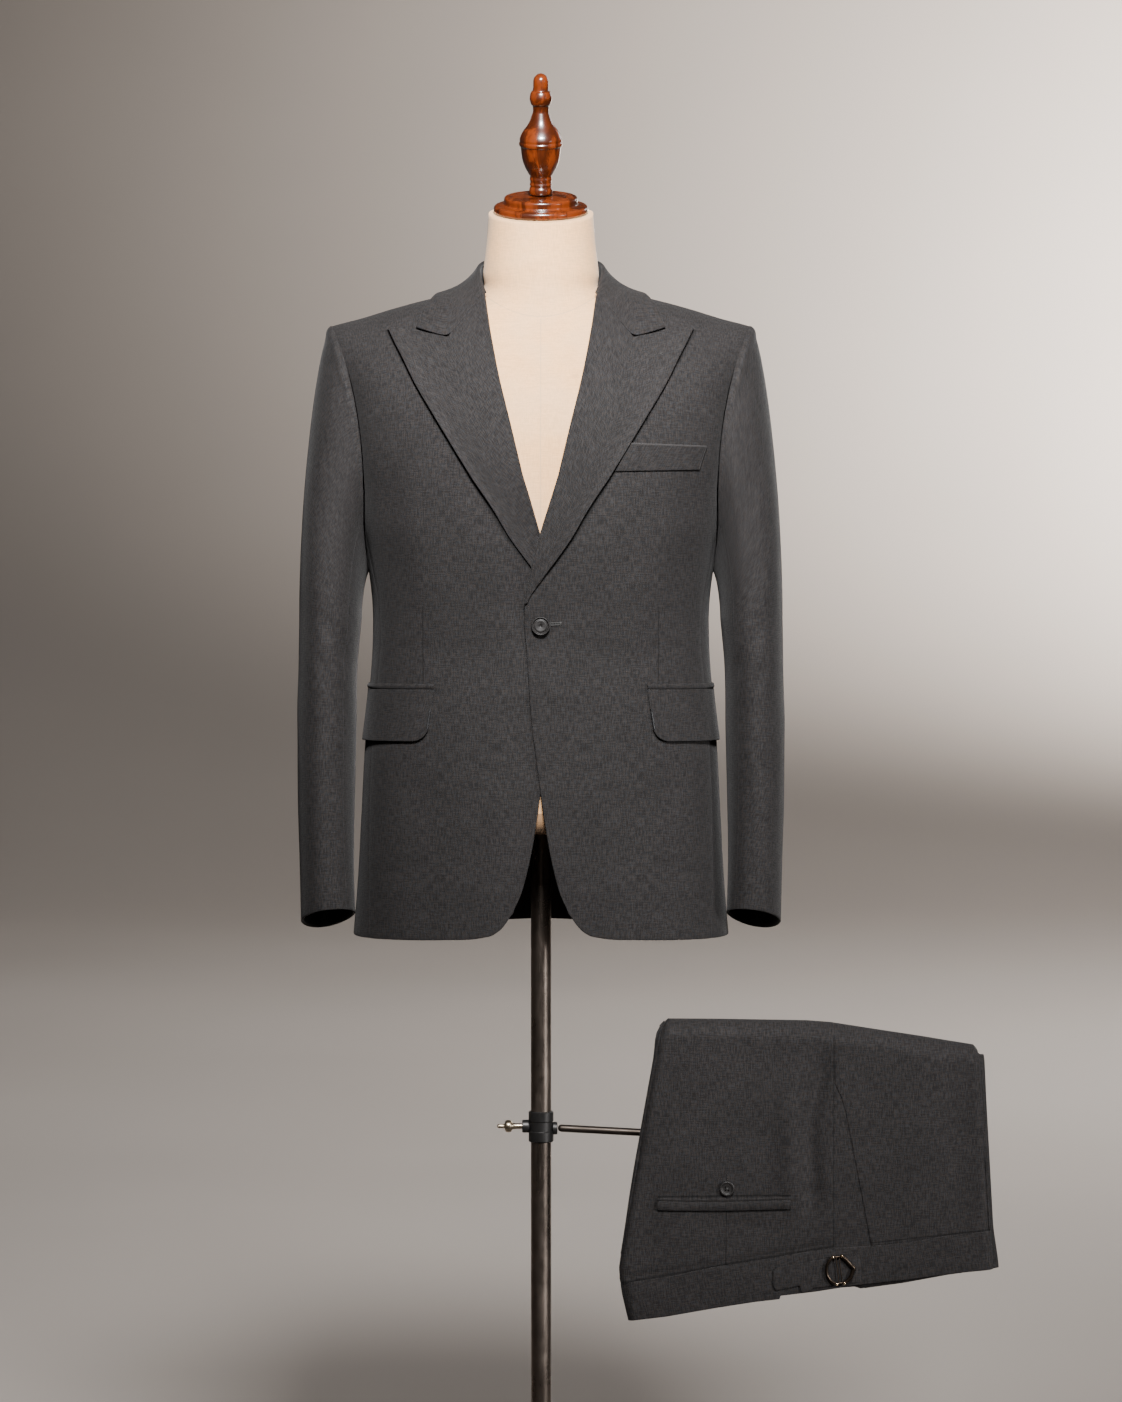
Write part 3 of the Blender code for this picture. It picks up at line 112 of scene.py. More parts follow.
# Lapel: height, distance from the centre
LAPEL_EDGE = np.array([
    (1.169, -0.0138), (1.1776, -0.0103), (1.1875, -0.004), (1.2012, 0.006), (1.2178, 0.0185),
    (1.2355, 0.031), (1.268, 0.05), (1.299, 0.0705), (1.328, 0.0885), (1.364, 0.1104),
    (1.397, 0.1303), (1.4268, 0.1455), (1.443, 0.1543), (1.4585, 0.1622),
])
ROLL_START = 9  # the first row of FRONT_EDGE on the roll line
# distance from the centre, height, from the roll line past the notch to the peak
LAPEL_TOP = np.array([
    (0.0612, 1.4945), (0.069, 1.4865), (0.078, 1.4745), (0.086, 1.4638), (0.0985, 1.4485),
    (0.1337, 1.456), (0.1622, 1.4585),
])
COLLAR_FRONT = np.array([
    (0.0612, 1.4945), (0.069, 1.4865), (0.078, 1.4745), (0.086, 1.4638), (0.0987, 1.4495),
    (0.1325, 1.46),
])
NOTCH = 4  # the corner's row in the two tables above
# Fold of the collar from the nape to the front: place across, along and up
COLLAR_FOLD = np.array([
    (0, 0.072, 1.545), (0.037, 0.0625, 1.543), (0.06, 0.037, 1.5376), (0.0668, 0.004, 1.528),
    (0.065, -0.022, 1.514), (0.0612, -0.046, 1.4975),
])
# share of the way from the nape, place across, along, and height of the collar's edge on the shoulders
COLLAR_EDGE = np.array([
    (0, 0, 1.4985), (0.18, 0.04, 1.4985), (0.36, 0.08, 1.496), (0.55, 0.1065, 1.4962),
    (0.72, 0.1147, 1.4924), (0.86, 0.1245, 1.4795), (1, 0.1325, 1.46),
])
COLLAR_SIDE = np.array([(0, 0.084), (0.18, 0.08), (0.36, 0.056), (0.55, 0.004), (0.6, -0.004)])

# Sleeves: height, outer and inner distance from the centre, middle along Y, half depth, lean off the hip
SLEEVE = np.array([
    (0.815, 0.2582, 0.194, -0.026, 0.056, 0.16), (0.889, 0.26, 0.1985, -0.019, 0.062, 0.07),
    (0.953, 0.262, 0.1998, -0.012, 0.069, 0.02), (1.03, 0.2622, 0.1992, -0.006, 0.074, 0),
    (1.1, 0.2614, 0.198, -0.002, 0.077, 0), (1.15, 0.2607, 0.1935, 0, 0.078, 0),
])
SLEEVE_POWER = 2.2
SLEEVE_TOP = 1.150
CUFF = 0.8270
CUFF_SLOPE = 0.0140
FOREARM_SEAM = math.radians(128)
HINDARM_SEAM = math.radians(228)

# Pockets and button
FLAP_TOP = 1.0765
FLAP_DROP = 0.0550
FLAP_FRONT = 0.1132
FLAP_CORNER = 0.0140
FLAP_END = 0.16
JET_HEIGHT = 0.0058
POCKET_LIFT = 0.0007  # how far a pocket's pieces lie off the cloth under them
WELT = np.array([(0.095, 1.3372), (0.1747, 1.3345), (0.1677, 1.3098), (0.079, 1.308)])
DART_X = 0.1250
DART_LOW = 1.0850
DART_HIGH = 1.1640
BUTTON_AT = (0.0001, 1.1443)
BUTTON_RADIUS = 0.0099
BUTTON_GAP = 0.0013
# share of the radius, distance towards the viewer
BUTTON = np.array([
    (0, 0), (0.8, 0), (1, 0.0008), (1, 0.0025), (0.96, 0.0033), (0.88, 0.0033), (0.83, 0.0024),
    (0.78, 0.0013), (0.7, 0.0015), (0.6, 0.0023), (0.34, 0.0019), (0.16, 0.0017), (0.09, 0.0009),
    (0, 0.0008),
])
HOLE = (0.0085, 0.0205, 1.1460, 0.05)  # the buttonhole: both ends, height at the first and slope
# the stitches' reach and the slit's half width, and the low and high of the stitches across its end
HOLE_REACH, HOLE_SLIT = 0.0021, 0.0004
HOLE_END = (1.1442, 1.149)
EYELET = (0.1283, 1.4314, 0.0011)  # place across, height and radius of the lapel's eyelet

# Soft troughs (negative) and ridges of the cloth: two ends, half width, height
FRONT_CREASES = np.array([
    (0.206, 1.425, 0.192, 1.3, 0.009, -0.002), (0.192, 1.3, 0.187, 1.215, 0.009, -0.002),
    (-0.206, 1.425, -0.192, 1.3, 0.009, -0.002), (-0.192, 1.3, -0.187, 1.215, 0.009, -0.002),
    (0.164, 1.305, 0.15, 1.15, 0.02, -0.0016), (0.128, 1.3, 0.126, 1.09, 0.022, 0.0012),
    (0.03, 1.15, 0.105, 1.215, 0.012, -0.0008), (0.028, 1.128, 0.12, 1.105, 0.011, -0.0007),
    (0.06, 1.01, 0.066, 0.83, 0.026, 0.0012), (0.115, 1.005, 0.124, 0.83, 0.022, -0.0012),
    (0.16, 1, 0.166, 0.83, 0.014, 0.0012), (-0.166, 1.3, -0.148, 1.16, 0.018, -0.0018),
    (-0.132, 1.28, -0.128, 1.1, 0.024, 0.0013), (-0.03, 1.158, -0.11, 1.205, 0.013, -0.0008),
    (-0.036, 1.13, -0.118, 1.112, 0.012, -0.0006), (-0.064, 1, -0.075, 0.83, 0.03, 0.0012),
    (-0.118, 1, -0.122, 0.83, 0.02, -0.0013), (-0.162, 1, -0.17, 0.83, 0.016, 0.0012),
])
BACK_CREASES = np.array([
    (0.15, 1.33, 0.12, 1.18, 0.022, -0.002), (0.06, 1.4, 0.105, 1.25, 0.026, 0.0014),
    (0.02, 1.19, 0.12, 1.15, 0.014, -0.001), (0.07, 1.08, 0.085, 0.84, 0.028, 0.0016),
    (0.11, 1.06, 0.125, 0.84, 0.018, -0.0014), (-0.148, 1.32, -0.116, 1.17, 0.02, -0.0018),
    (-0.066, 1.39, -0.1, 1.24, 0.028, 0.0013), (-0.018, 1.16, -0.118, 1.128, 0.015, -0.0012),
    (-0.066, 1.09, -0.08, 0.84, 0.03, 0.0015), (-0.112, 1.06, -0.122, 0.84, 0.02, -0.0013),
])
# round the sleeve in radians, height at both ends, half width in metres, height of the ridge
SLEEVE_CREASES = np.array([
    (1.1, 1.33, 1.7, 1.18, 0.016, -0.0022), (0.55, 1.3, 0.95, 1.16, 0.02, 0.0014),
    (1.45, 1.14, 2.3, 1.09, 0.01, -0.0024), (1.3, 1.1, 2.2, 1.045, 0.01, -0.0018),
    (0.2, 1.06, 0.9, 0.96, 0.018, 0.0012), (1.9, 0.99, 1.7, 0.87, 0.012, -0.0012),
    (-0.9, 1.34, -1.5, 1.18, 0.02, -0.0024), (-1.1, 1.13, -1.9, 1.07, 0.014, -0.002),
    (-0.4, 1, -0.7, 0.87, 0.02, 0.0012),
])

# Dress form and stand
NECK_TILT = math.radians(13)
NECK_TOP = 1.5855
TILT_START = 1.53
# height, half width, front, back, superellipse power
FORM = np.array([
    (0.922, 0.166, 0.098, 0.092, 2.3), (0.93, 0.174, 0.107, 0.1, 2.3),
    (0.948, 0.1795, 0.1115, 0.103, 2.4), (1.013, 0.177, 0.111, 0.095, 2.4),
    (1.072, 0.172, 0.1105, 0.083, 2.4), (1.126, 0.168, 0.111, 0.077, 2.4),
    (1.169, 0.1685, 0.1165, 0.082, 2.4), (1.205, 0.1725, 0.1215, 0.092, 2.4),
    (1.25, 0.176, 0.125, 0.104, 2.4), (1.3, 0.177, 0.125, 0.111, 2.4),
    (1.35, 0.177, 0.121, 0.109, 2.3), (1.395, 0.174, 0.109, 0.101, 2.2),
    (1.43, 0.167, 0.093, 0.087, 2.1), (1.455, 0.15, 0.079, 0.0735, 2),
    (1.472, 0.118, 0.0695, 0.0665, 2), (1.486, 0.083, 0.0645, 0.0635, 2),
    (1.5, 0.0638, 0.0628, 0.0625, 2), (1.52, 0.0623, 0.062, 0.062, 2),
    (1.555, 0.0585, 0.0585, 0.0585, 2), (1.5855, 0.0562, 0.0562, 0.0562, 2),
])
# Turned profiles: radius, distance along the axis
CAP = np.array([
    (0, 0.0003), (0.046, 0.0003), (0.0505, 0.0012), (0.051, 0.004), (0.0505, 0.0072), (0.0485, 0.0088),
    (0.0405, 0.0096), (0.0395, 0.0108), (0.0398, 0.016), (0.0385, 0.0182), (0.033, 0.019),
    (0.0316, 0.018), (0.0302, 0.019), (0, 0.0196),
])
CAP_HEIGHT = 0.0199
FINIAL = np.array([
    (0, 0), (0.0124, 0), (0.0128, 0.0064), (0.0112, 0.0095), (0.0122, 0.0115), (0.0112, 0.014),
    (0.0122, 0.0172), (0.0114, 0.0204), (0.0139, 0.0242), (0.0174, 0.0306), (0.0196, 0.0369),
    (0.0208, 0.0433), (0.0217, 0.0525), (0.0232, 0.0535), (0.0235, 0.0565), (0.0226, 0.058),
    (0.0229, 0.0605), (0.0217, 0.0649), (0.0186, 0.07), (0.0146, 0.0751), (0.0118, 0.0802),
    (0.0093, 0.0878), (0.0084, 0.0904), (0.0087, 0.0967), (0.0105, 0.098), (0.0124, 0.105),
    (0.0105, 0.112), (0.0082, 0.1127), (0.0082, 0.1255), (0.005, 0.13), (0, 0.1318),
])
POLE_RADIUS = 0.0110
POLE_FOOT = 0.0190
POLE_TOP = 0.9215
BASE = np.array([
    (0, 0), (0.19, 0), (0.195, 0.004), (0.195, 0.009), (0.188, 0.012), (0.06, 0.019), (0.026, 0.024),
    (0.022, 0.034), (0.02, 0.04), (0.0114, 0.04), (0.0114, 0.0185), (0, 0.0185),
])
CLAMP_LOW = 0.5821
CLAMP_HIGH = 0.6155
CLAMP_MIDDLE = 0.5990
CLAMP_RADIUS = 0.0135
CLAMP_BORE = 0.0114
BOSS = np.array([(0, 0.0119), (0.007, 0.0119), (0.007, 0.02), (0.0064, 0.0205), (0, 0.0205)])
FLANGE = np.array([(0, 0.0119), (0.00685, 0.0119), (0.00685, 0.0172), (0.0062, 0.0178), (0, 0.0178)])
SCREW = np.array([
    (0, -0.0117), (0.0026, -0.0117), (0.003, -0.0122), (0.003, -0.0313), (0.0062, -0.032),
    (0.0067, -0.0353), (0.0062, -0.0386), (0.003, -0.0393), (0.0023, -0.04), (0.0023, -0.0465),
    (0.0015, -0.0475), (0, -0.0475),
])
SCREW_BORE = 0.0034
ROD_RADIUS = 0.0040
ROD = np.array([
    (0.0222, 0, 0.5968), (0.112, 0, 0.592), (0.28, 0, 0.583), (0.292, 0, 0.585), (0.2975, 0, 0.596),
    (0.299, 0, 0.62), (0.3, 0, 0.68),
])
BAR = np.array([(0.152, 0, 0.6985), (0.44, 0, 0.675)])
BAR_RADIUS = 0.0045

# Folded trousers: place across against height along the face of the bundle
HALF = 0.0215
EDGE_ROUND = 0.0090
SKIN_TURN = 2.0
SLOT = 0.0058
PANT_TOP = np.array([
    (0.0851, 0.7095), (0.1306, 0.7102), (0.1376, 0.7161), (0.1924, 0.7158), (0.288, 0.7142),
    (0.3139, 0.7122), (0.4185, 0.6958), (0.4684, 0.6879), (0.4733, 0.6833), (0.4883, 0.682),
])
PANT_LEFT = np.array([
    (0.3903, 0.0954), (0.4043, 0.0923), (0.4198, 0.0884), (0.4352, 0.0858), (0.4481, 0.0851),
    (0.4711, 0.0888), (0.492, 0.0927), (0.5952, 0.1107), (0.6749, 0.1256), (0.6982, 0.1286),
    (0.7102, 0.1306), (0.7161, 0.134),
])
PANT_RIGHT = np.array([
    (0.4469, 0.4883), (0.4866, 0.4843), (0.6255, 0.4763), (0.6723, 0.474), (0.6833, 0.473),
])
# the waistband's lower edge and, behind it, that of the folded layers
BAND_LOW = np.array([
    (0.0954, 0.3903), (0.1361, 0.3953), (0.1874, 0.4043), (0.2302, 0.411), (0.2578, 0.4142),
    (0.259, 0.4178), (0.3, 0.4228), (0.3386, 0.4292), (0.3931, 0.435), (0.44, 0.4415),
    (0.488, 0.4462),
])
LAYER_LOW = np.array([
    (0.096, 0.3925), (0.1874, 0.4065), (0.259, 0.419), (0.35, 0.4262), (0.3518, 0.4238),
    (0.3931, 0.4296), (0.44, 0.4385), (0.47, 0.4425), (0.493, 0.4462),
])
PANT_BAND = np.array([
    (0.0884, 0.4292), (0.0997, 0.4322), (0.1386, 0.4382), (0.1774, 0.4467), (0.2357, 0.4561),
    (0.3089, 0.468), (0.3378, 0.4701), (0.3896, 0.4745), (0.4395, 0.4825), (0.4838, 0.487),
])
SLANT = np.array([
    (0.47, 0.3575), (0.483, 0.3548), (0.5149, 0.3488), (0.5518, 0.3418), (0.6185, 0.3289),
    (0.6325, 0.3244), (0.6484, 0.3172),
])
SIDE_SEAM = 0.3170
HIP_WELT = (0.1262, 0.2688, 0.5105, 0.5238)
HIP_BUTTON_AT = (0.2008, 0.5338)
HIP_BUTTON_RADIUS = 0.0082
# share of the radius, distance towards the viewer
HIP_BUTTON = np.array([
    (0, 0), (0.8, 0), (1, 0.0008), (1, 0.002), (0.92, 0.0027), (0.78, 0.0028), (0.66, 0.002),
    (0.5, 0.0016), (0, 0.0015),
])
STRAP_LOW = np.array([
    (0.2512, 0.4285), (0.253, 0.4245), (0.2545, 0.4236), (0.2781, 0.4287), (0.2796, 0.4288),
    (0.2812, 0.4222), (0.2875, 0.4222), (0.2935, 0.4262), (0.314, 0.429), (0.36, 0.4352),
])
STRAP_HIGH = np.array([
    (0.2512, 0.444), (0.253, 0.4472), (0.2545, 0.4484), (0.2741, 0.4512), (0.306, 0.4576),
    (0.36, 0.464),
])
BUCKLE_AT = (0.3218, 0.4462)
BUCKLE_SLANT = 0.12
# across and up from the buckle's middle: the bars' lines with their radii, and the balls
BUCKLE_BARS = [
    (np.array([(-0.0047, 0.0147), (-0.0098, 0.0108), (-0.013, 0.004), (-0.0134, -0.003),
               (-0.0098, -0.0108), (-0.0047, -0.0147)]), 0.0017),
    (np.array([(0.0047, 0.0147), (0.0095, 0.0092), (0.0136, 0.0032), (0.016, 0.0004),
               (0.0136, -0.0048), (0.0112, -0.0098), (0.0047, -0.0147)]), 0.0022),
    (np.array([(-0.0047, 0.0147), (0, 0.0143), (0.0047, 0.0147)]), 0.001),
    (np.array([(-0.0047, -0.0147), (0, -0.0143), (0.0047, -0.0147)]), 0.001),
    (np.array([(-0.0018, 0.014), (-0.0017, 0), (-0.0018, -0.014)]), 0.0006),
    (np.array([(0.0018, 0.014), (0.0017, 0), (0.0018, -0.014)]), 0.0006),
]
BUCKLE_BALLS = [(-0.0049, 0.0148), (0.0049, 0.0148), (-0.0042, -0.0148), (0.0042, -0.0148)]
# place across and height of both ends, half width, height of the ridge
PANT_CREASES = np.array([
    (0.307, 0.676, 0.289, 0.602, 0.011, -0.0064), (0.289, 0.602, 0.294, 0.512, 0.011, -0.0064),
    (0.272, 0.64, 0.268, 0.52, 0.014, 0.0044), (0.095, 0.437, 0.18, 0.4505, 0.0034, -0.0014),
    (0.18, 0.4505, 0.31, 0.4722, 0.0034, -0.0014), (0.11, 0.56, 0.12, 0.455, 0.016, -0.0012),
    (0.15, 0.69, 0.146, 0.56, 0.026, 0.001), (0.225, 0.7, 0.232, 0.56, 0.028, -0.001),
    (0.4, 0.69, 0.41, 0.5, 0.03, 0.0014), (0.452, 0.66, 0.456, 0.5, 0.016, -0.0012),
    (0.18, 0.5, 0.26, 0.486, 0.01, -0.001), (0.13, 0.442, 0.23, 0.46, 0.007, 0.001),
])
# both ends, width and tone of the lines in the outer leg's back and front: the dart and side seam are sewn
# lines, the rest are painted shade at the waistband's seam and round the hip welt
BACK_SEAMS_AND_SHADE = [
    ((0.2003, 0.509), (0.1995, 0.45), 0.0009, 0.25),
    ((0.3166, 0.69), (0.3166, 0.47), 0.001, 0.25),
    # painted shade along the waistband's seam, where the panel dips
    ((0.088, 0.4304), (0.2, 0.4508), 0.0024, 0.2),
    ((0.2, 0.4508), (0.317, 0.4704), 0.0021, 0.2),
    # painted shadow under and over the hip welt
    ((0.1262, 0.51), (0.2688, 0.5112), 0.0028, 0.1),
    ((0.1262, 0.5242), (0.2688, 0.5262), 0.0016, 0.15),
]
# painted shade along the waistband's seam on the front panel
FRONT_SHADE_LINES = [((0.317, 0.4696), (0.485, 0.4882), 0.0013, 0.25)]
# share of the way out from the bar, how far the layers' edges are set in
GROOVES = np.array([
    (0, 0.004), (0.05, 0.0016), (0.17, 0.0008), (0.29, 0.0016), (0.34, 0.0052), (0.39, 0.0016),
    (0.5, 0.0006), (0.61, 0.0016), (0.66, 0.0052), (0.71, 0.0016), (0.83, 0.0008), (0.95, 0.002),
    (1, 0.006),
])
STACK = 0.0190  # the layers' half thickness
SLOT_DEPTH = 0.0085  # from the top fold down to the slot for the bar
PEEK = 0.0062  # how far the layers behind show past the right edge
PEEK_LOW = 0.0018  # and how much further at the bottom

# Stage: the camera, the sweep's front end, back, radius, top and half width, and the lamps
SENSOR = 36.0
VIEW_DISTANCE = 6.0048
VIEW_WIDTH = 1.212  # what the picture's width shows at the stand's axis
CAMERA_AT = (0.0216, -6.0, 1.30)
CAMERA_TARGET = (0.0216, 0, 1.060)
SWEEP = (-60.0, 10.5, 6.0, 14.0, 22.0)
WHITE = (1, 1, 1)
# name, place, target, size, the power it takes its own share of, spread in degrees, colour
LIGHTS = [
    ("key", (0.14, -2.5, 2.95), (0.02, 0, 1.62), (0.6, 0.6), "key", 1, 46, WHITE),
    ("fill_left", (-2.6, -2.8, 1.7), (0, 0, 1.1), (1.2, 2), "key", 0.05, 180, WHITE),
    ("fill_right", (2.8, -2, 1.4), (0.32, 0, 0.42), (0.6, 0.8), "key", 0.2, 38, WHITE),
    ("rim_back", (2.6, 3.4, 2.8), (0.8, 1.2, 0.2), (1.2, 1.2), "key", 0.6, 180, WHITE),
    ("ground", (4.5, 5, 4), (1.2, 7.5, 0), (2, 2), "side", 0.3, 125, WHITE),
    ("backdrop", (5, 11.2, 3.4), (3.7, 15.8, 1.4), (1.5, 1.5), "side", 1, 100, (1, 0.96, 0.92)),
]
SHEEN_TINT = (0.85, 0.84, 0.84, 1)
CANVAS_TINT = (1, 0.95, 0.88, 1)


def curve(at, table):
    """Values of a table's other columns at places along its first: a cubic Hermite curve through its rows."""
    keys = table[:, 0]
    values = table[:, 1:]
    at = np.clip(np.asarray(at, float), keys[0], keys[-1])
    slope = np.gradient(values, keys, axis=0)
    i = np.clip(np.searchsorted(keys, at, side="right") - 1, 0, len(keys) - 2)
    h = (keys[i + 1] - keys[i])[..., None]
    t = (at - keys[i])[..., None] / h
    low = (1 + 2 * t) * (1 - t) ** 2 * values[i] + t * (1 - t) ** 2 * h * slope[i]
    high = t * t * (3 - 2 * t) * values[i + 1] + t * t * (t - 1) * h * slope[i + 1]
    out = low + high
    return out[..., 0] if values.shape[1] == 1 else out


def linear(at, table):
    """Values of a table's second column at places along its first, on straight lines between its rows."""
    return np.interp(at, table[:, 0], table[:, 1])


def columns(*parts):
    """Points from their coordinates, each spread over the shape that they have together."""
    return np.stack(np.broadcast_arrays(*parts), axis=-1)


def run_of(points):
    """Distance along a line of points from its start to each of them."""
    return np.concatenate([[0], np.cumsum(np.linalg.norm(np.diff(points, axis=0), axis=1))])


def along(points, count, share=None):
    """The line's points again, evenly spaced or at the given shares of its length."""
    points = np.asarray(points, float)
    run = run_of(points)
    at = (np.linspace(0, 1, count) if share is None else share) * run[-1]
    return np.stack([np.interp(at, run, points[:, k]) for k in range(points.shape[1])], axis=1)


def smoothly(points, count):
    """A cubic Hermite curve through the points, as that many points at even distances."""
    points = np.asarray(points, float)
    table = np.column_stack([run_of(points), points])
    return along(curve(np.linspace(0, table[-1, 0], 4 * count), table), count)


def through(points, count, corner, at):
    """The line's points again, with its numbered corner kept as the point numbered at."""
    return np.concatenate([along(points[:corner + 1], at + 1)[:-1], along(points[corner:], count - at)])


def step(x):
    """Smooth step from 0 at 0 to 1 at 1."""
    x = np.clip(x, 0, 1)
    return x * x * (3 - 2 * x)


def coons(bottom, top, left, right, share=None, rise=None):
    """Grid [across, up] that fills four edges: its rails and rungs less the patch of its corners."""
    u = (np.linspace(0, 1, len(bottom)) if share is None else share)[:, None, None]
    v = (np.linspace(0, 1, len(left)) if rise is None else rise)[None, :, None]
    rails = (1 - u) * left[None] + u * right[None]
    rungs = (1 - v) * bottom[:, None] + v * top[:, None]
    low = (1 - u) * bottom[0] + u * bottom[-1]
    high = (1 - u) * top[0] + u * top[-1]
    return rails + rungs - (1 - v) * low - v * high


def squared(c, power):
    """A superellipse's coordinate from a cosine or sine: its 2 / power-th power, with its sign."""
    return np.sign(c) * np.abs(c) ** (2 / power)


def unit(v):
    """Vectors divided by their lengths."""
    return v / np.maximum(np.linalg.norm(v, axis=-1, keepdims=True), 1e-12)


def normals(grid):
    """Unit normals of a grid: the cross product of its steps across and up."""
    return unit(np.cross(np.gradient(grid, axis=0), np.gradient(grid, axis=1)))


def laid_flat(grid, start=0.0):
    """The cloth's own metres at each point of a grid: arc length across from start, mean arc length up."""
    across = np.linalg.norm(np.diff(grid, axis=0), axis=2)
    up = np.linalg.norm(np.diff(grid, axis=1), axis=2).mean(axis=0)
    u = start + np.concatenate([np.zeros((1, grid.shape[1])), np.cumsum(across, axis=0)])
    v = np.concatenate([[0], np.cumsum(up)])
    return columns(u, np.broadcast_to(v, u.shape))


def ridges(a, b, table):
    """Height of creases at (a, b): each is a bell across its line, faded to nothing at both its ends."""
    total = np.zeros(np.broadcast(a, b).shape)
    for a0, b0, a1, b1, width, height in table:
        la, lb = a1 - a0, b1 - b0
        t = ((a - a0) * la + (b - b0) * lb) / (la * la + lb * lb)
        off = np.hypot(a - a0 - t * la, b - b0 - t * lb)
        ends = step((t + 0.25) / 0.5) * step((1.25 - t) / 0.5)
        total += height * np.exp(-(off / width) ** 2) * ends
    return total


def reach(x, z, back=False):
    """Distance of the jacket from the plane y = 0: a superellipse ring at each height."""
    ring = curve(z, BODY)
    share = np.clip(1 - (np.abs(x) / ring[..., 0]) ** POWER, 0, 1)
    return ring[..., 2 if back else 1] * share ** (1 / POWER)


def body(flat, back=False):
    """The jacket's outside at (x, level): rings up to the chest, then a quarter turn over the shoulder."""
    x, level = flat[..., 0], flat[..., 1]
    turn = np.clip((level - CHEST) / TURN, 0, 1) * np.pi / 2
    top = curve(np.abs(x), SHOULDER)
    z = np.where(level <= CHEST, level, CHEST + (top - CHEST) * np.sin(turn))
    y = reach(x, z, back) * np.cos(turn)
    return columns(x, y if back else -y, z)


def level_of(x, z):
    """The level of a height at a place across."""
    top = curve(np.abs(x), SHOULDER)
    turn = np.arcsin(np.clip((z - CHEST) / (top - CHEST), 0, 1))
    return np.where(z <= CHEST, z, CHEST + TURN * turn / (np.pi / 2))


def flat_points(x, z):
    """Points (x, level) of the jacket from places across and heights."""
    return columns(x, level_of(x, z))


def body_normals(flat, back=False):
    """Outward unit normals of the jacket at (x, level), from small steps both ways."""
    small = 0.0004
    limit = 0.9975 * curve(np.minimum(flat[..., 1], SEAM_LEVEL), BODY)[..., 0] - small
    at = columns(np.clip(flat[..., 0], -limit, limit), flat[..., 1])
    across = body(at + (small, 0), back) - body(at - (small, 0), back)
    low, high = at - (0, small), np.minimum(at + (0, small), (9, SEAM_LEVEL))
    n = unit(np.cross(across, body(high, back) - body(low, back)))
    return -n if back else n


def creased(points, normal, amount=1.0):
    """The jacket's points moved along their normals by the creases of its front and back."""
    x, y, z = np.moveaxis(points, -1, 0)
    ahead = step(-y / 0.05) * ridges(x, z, FRONT_CREASES)
    behind = step(y / 0.05) * ridges(x, z, BACK_CREASES)
    return points + normal * (amount * (ahead + behind))[..., None]


def dressed(flat, back=False, lift=0.0, side=1):
    """The jacket's creased surface at (x, level) on one side, moved out by lift, facing outward."""
    flat = flat * (side, 1)
    points, normal = body(flat, back), body_normals(flat, back)
    lift = np.broadcast_to(np.asarray(lift, float), flat.shape[:-1])[..., None]
    points = creased(points, normal) + normal * lift
    return points[::-1] if (side < 0) != back else points


def armhole_x(z):
    """Distance of the armhole seam from the centre, kept just inside the body's ring."""
    return np.minimum(curve(z, ARMHOLE), curve(z, BODY)[..., 0] * 0.9998)


def outer_edge(low, seam, seam_top, rows):
    """Side seam and armhole of a front or back from hem to shoulder, as (x, level)."""
    levels = np.linspace(low, SEAM_LEVEL, 1200)
    high, tip = float(seam_top), ARMHOLE[-1]
    rise = np.sin(np.linspace(0, np.pi / 2, 400))
    z = np.concatenate([levels[levels < high], high + (tip[0] - high) * rise])
    x = np.where(z < high, curve(z, seam), armhole_x(z))
    found = flat_points(x, z)
    found[-1] = (tip[1], SEAM_LEVEL)
    seam_rows = int(rows * 0.6)
    seam_levels = np.linspace(low, seam_top, seam_rows)[:-1]
    at = np.concatenate([seam_levels, np.linspace(seam_top, SEAM_LEVEL, rows - seam_rows + 1)])
    return np.stack([np.interp(at, found[:, 1], found[:, 0]), at], axis=1)


def front_grid(across, rows):
    """The left front from its edge and roll line to the side seam and armhole."""
    edge = flat_points(FRONT_EDGE[:, 1], FRONT_EDGE[:, 0])
    edge[-1, 1] = SEAM_LEVEL
    right = outer_edge(HEM_FRONT, FRONT_SEAM, FRONT_SEAM_TOP, rows)
    rise = (right[:, 1] - HEM_FRONT) / (SEAM_LEVEL - HEM_FRONT)
    at = edge[0, 1] + rise * (SEAM_LEVEL - edge[0, 1])
    left = np.stack([curve(at, edge[:, ::-1]), at], axis=1)
    x = np.linspace(FRONT_HEM[0, 0], right[0, 0], 20 * across)
    bottom = along(np.stack([x, curve(x, FRONT_HEM)], axis=1), across)
    x = np.linspace(left[-1, 0], right[-1, 0], across)
    top = np.stack([x, np.full(across, SEAM_LEVEL)], axis=1)
    bottom[0], bottom[-1] = left[0], right[0]
    return coons(bottom, top, left, right, rise=rise)


def tuck(flat):
    """How far the right front drops below the left one that covers it."""
    x, z = flat[..., 0], flat[..., 1]
    deep = np.interp(z, [0.80, 1.11, 1.165, 1.250, 1.310], [0.0028, 0.0028, 0.0054, 0.0054, 0])
    return deep * step((0.046 - x) / 0.032)


def side_angle(x, z, sign):
    """Angle of a ring's point at a place across; negative in front."""
    share = np.clip(x / curve(z, BODY)[..., 0], 0, 1)
    return sign * np.arccos(share ** (POWER / 2))


def round_body(angle, z):
    """The jacket's outside by angle from the side and height, below the chest: a superellipse."""
    ring = curve(z, BODY)
    depth = np.where(angle < 0, ring[..., 1], ring[..., 2])
    x = ring[..., 0] * np.abs(np.cos(angle)) ** (2 / POWER)
    y = np.sign(angle) * depth * np.abs(np.sin(angle)) ** (2 / POWER)
    return columns(x, y, z)


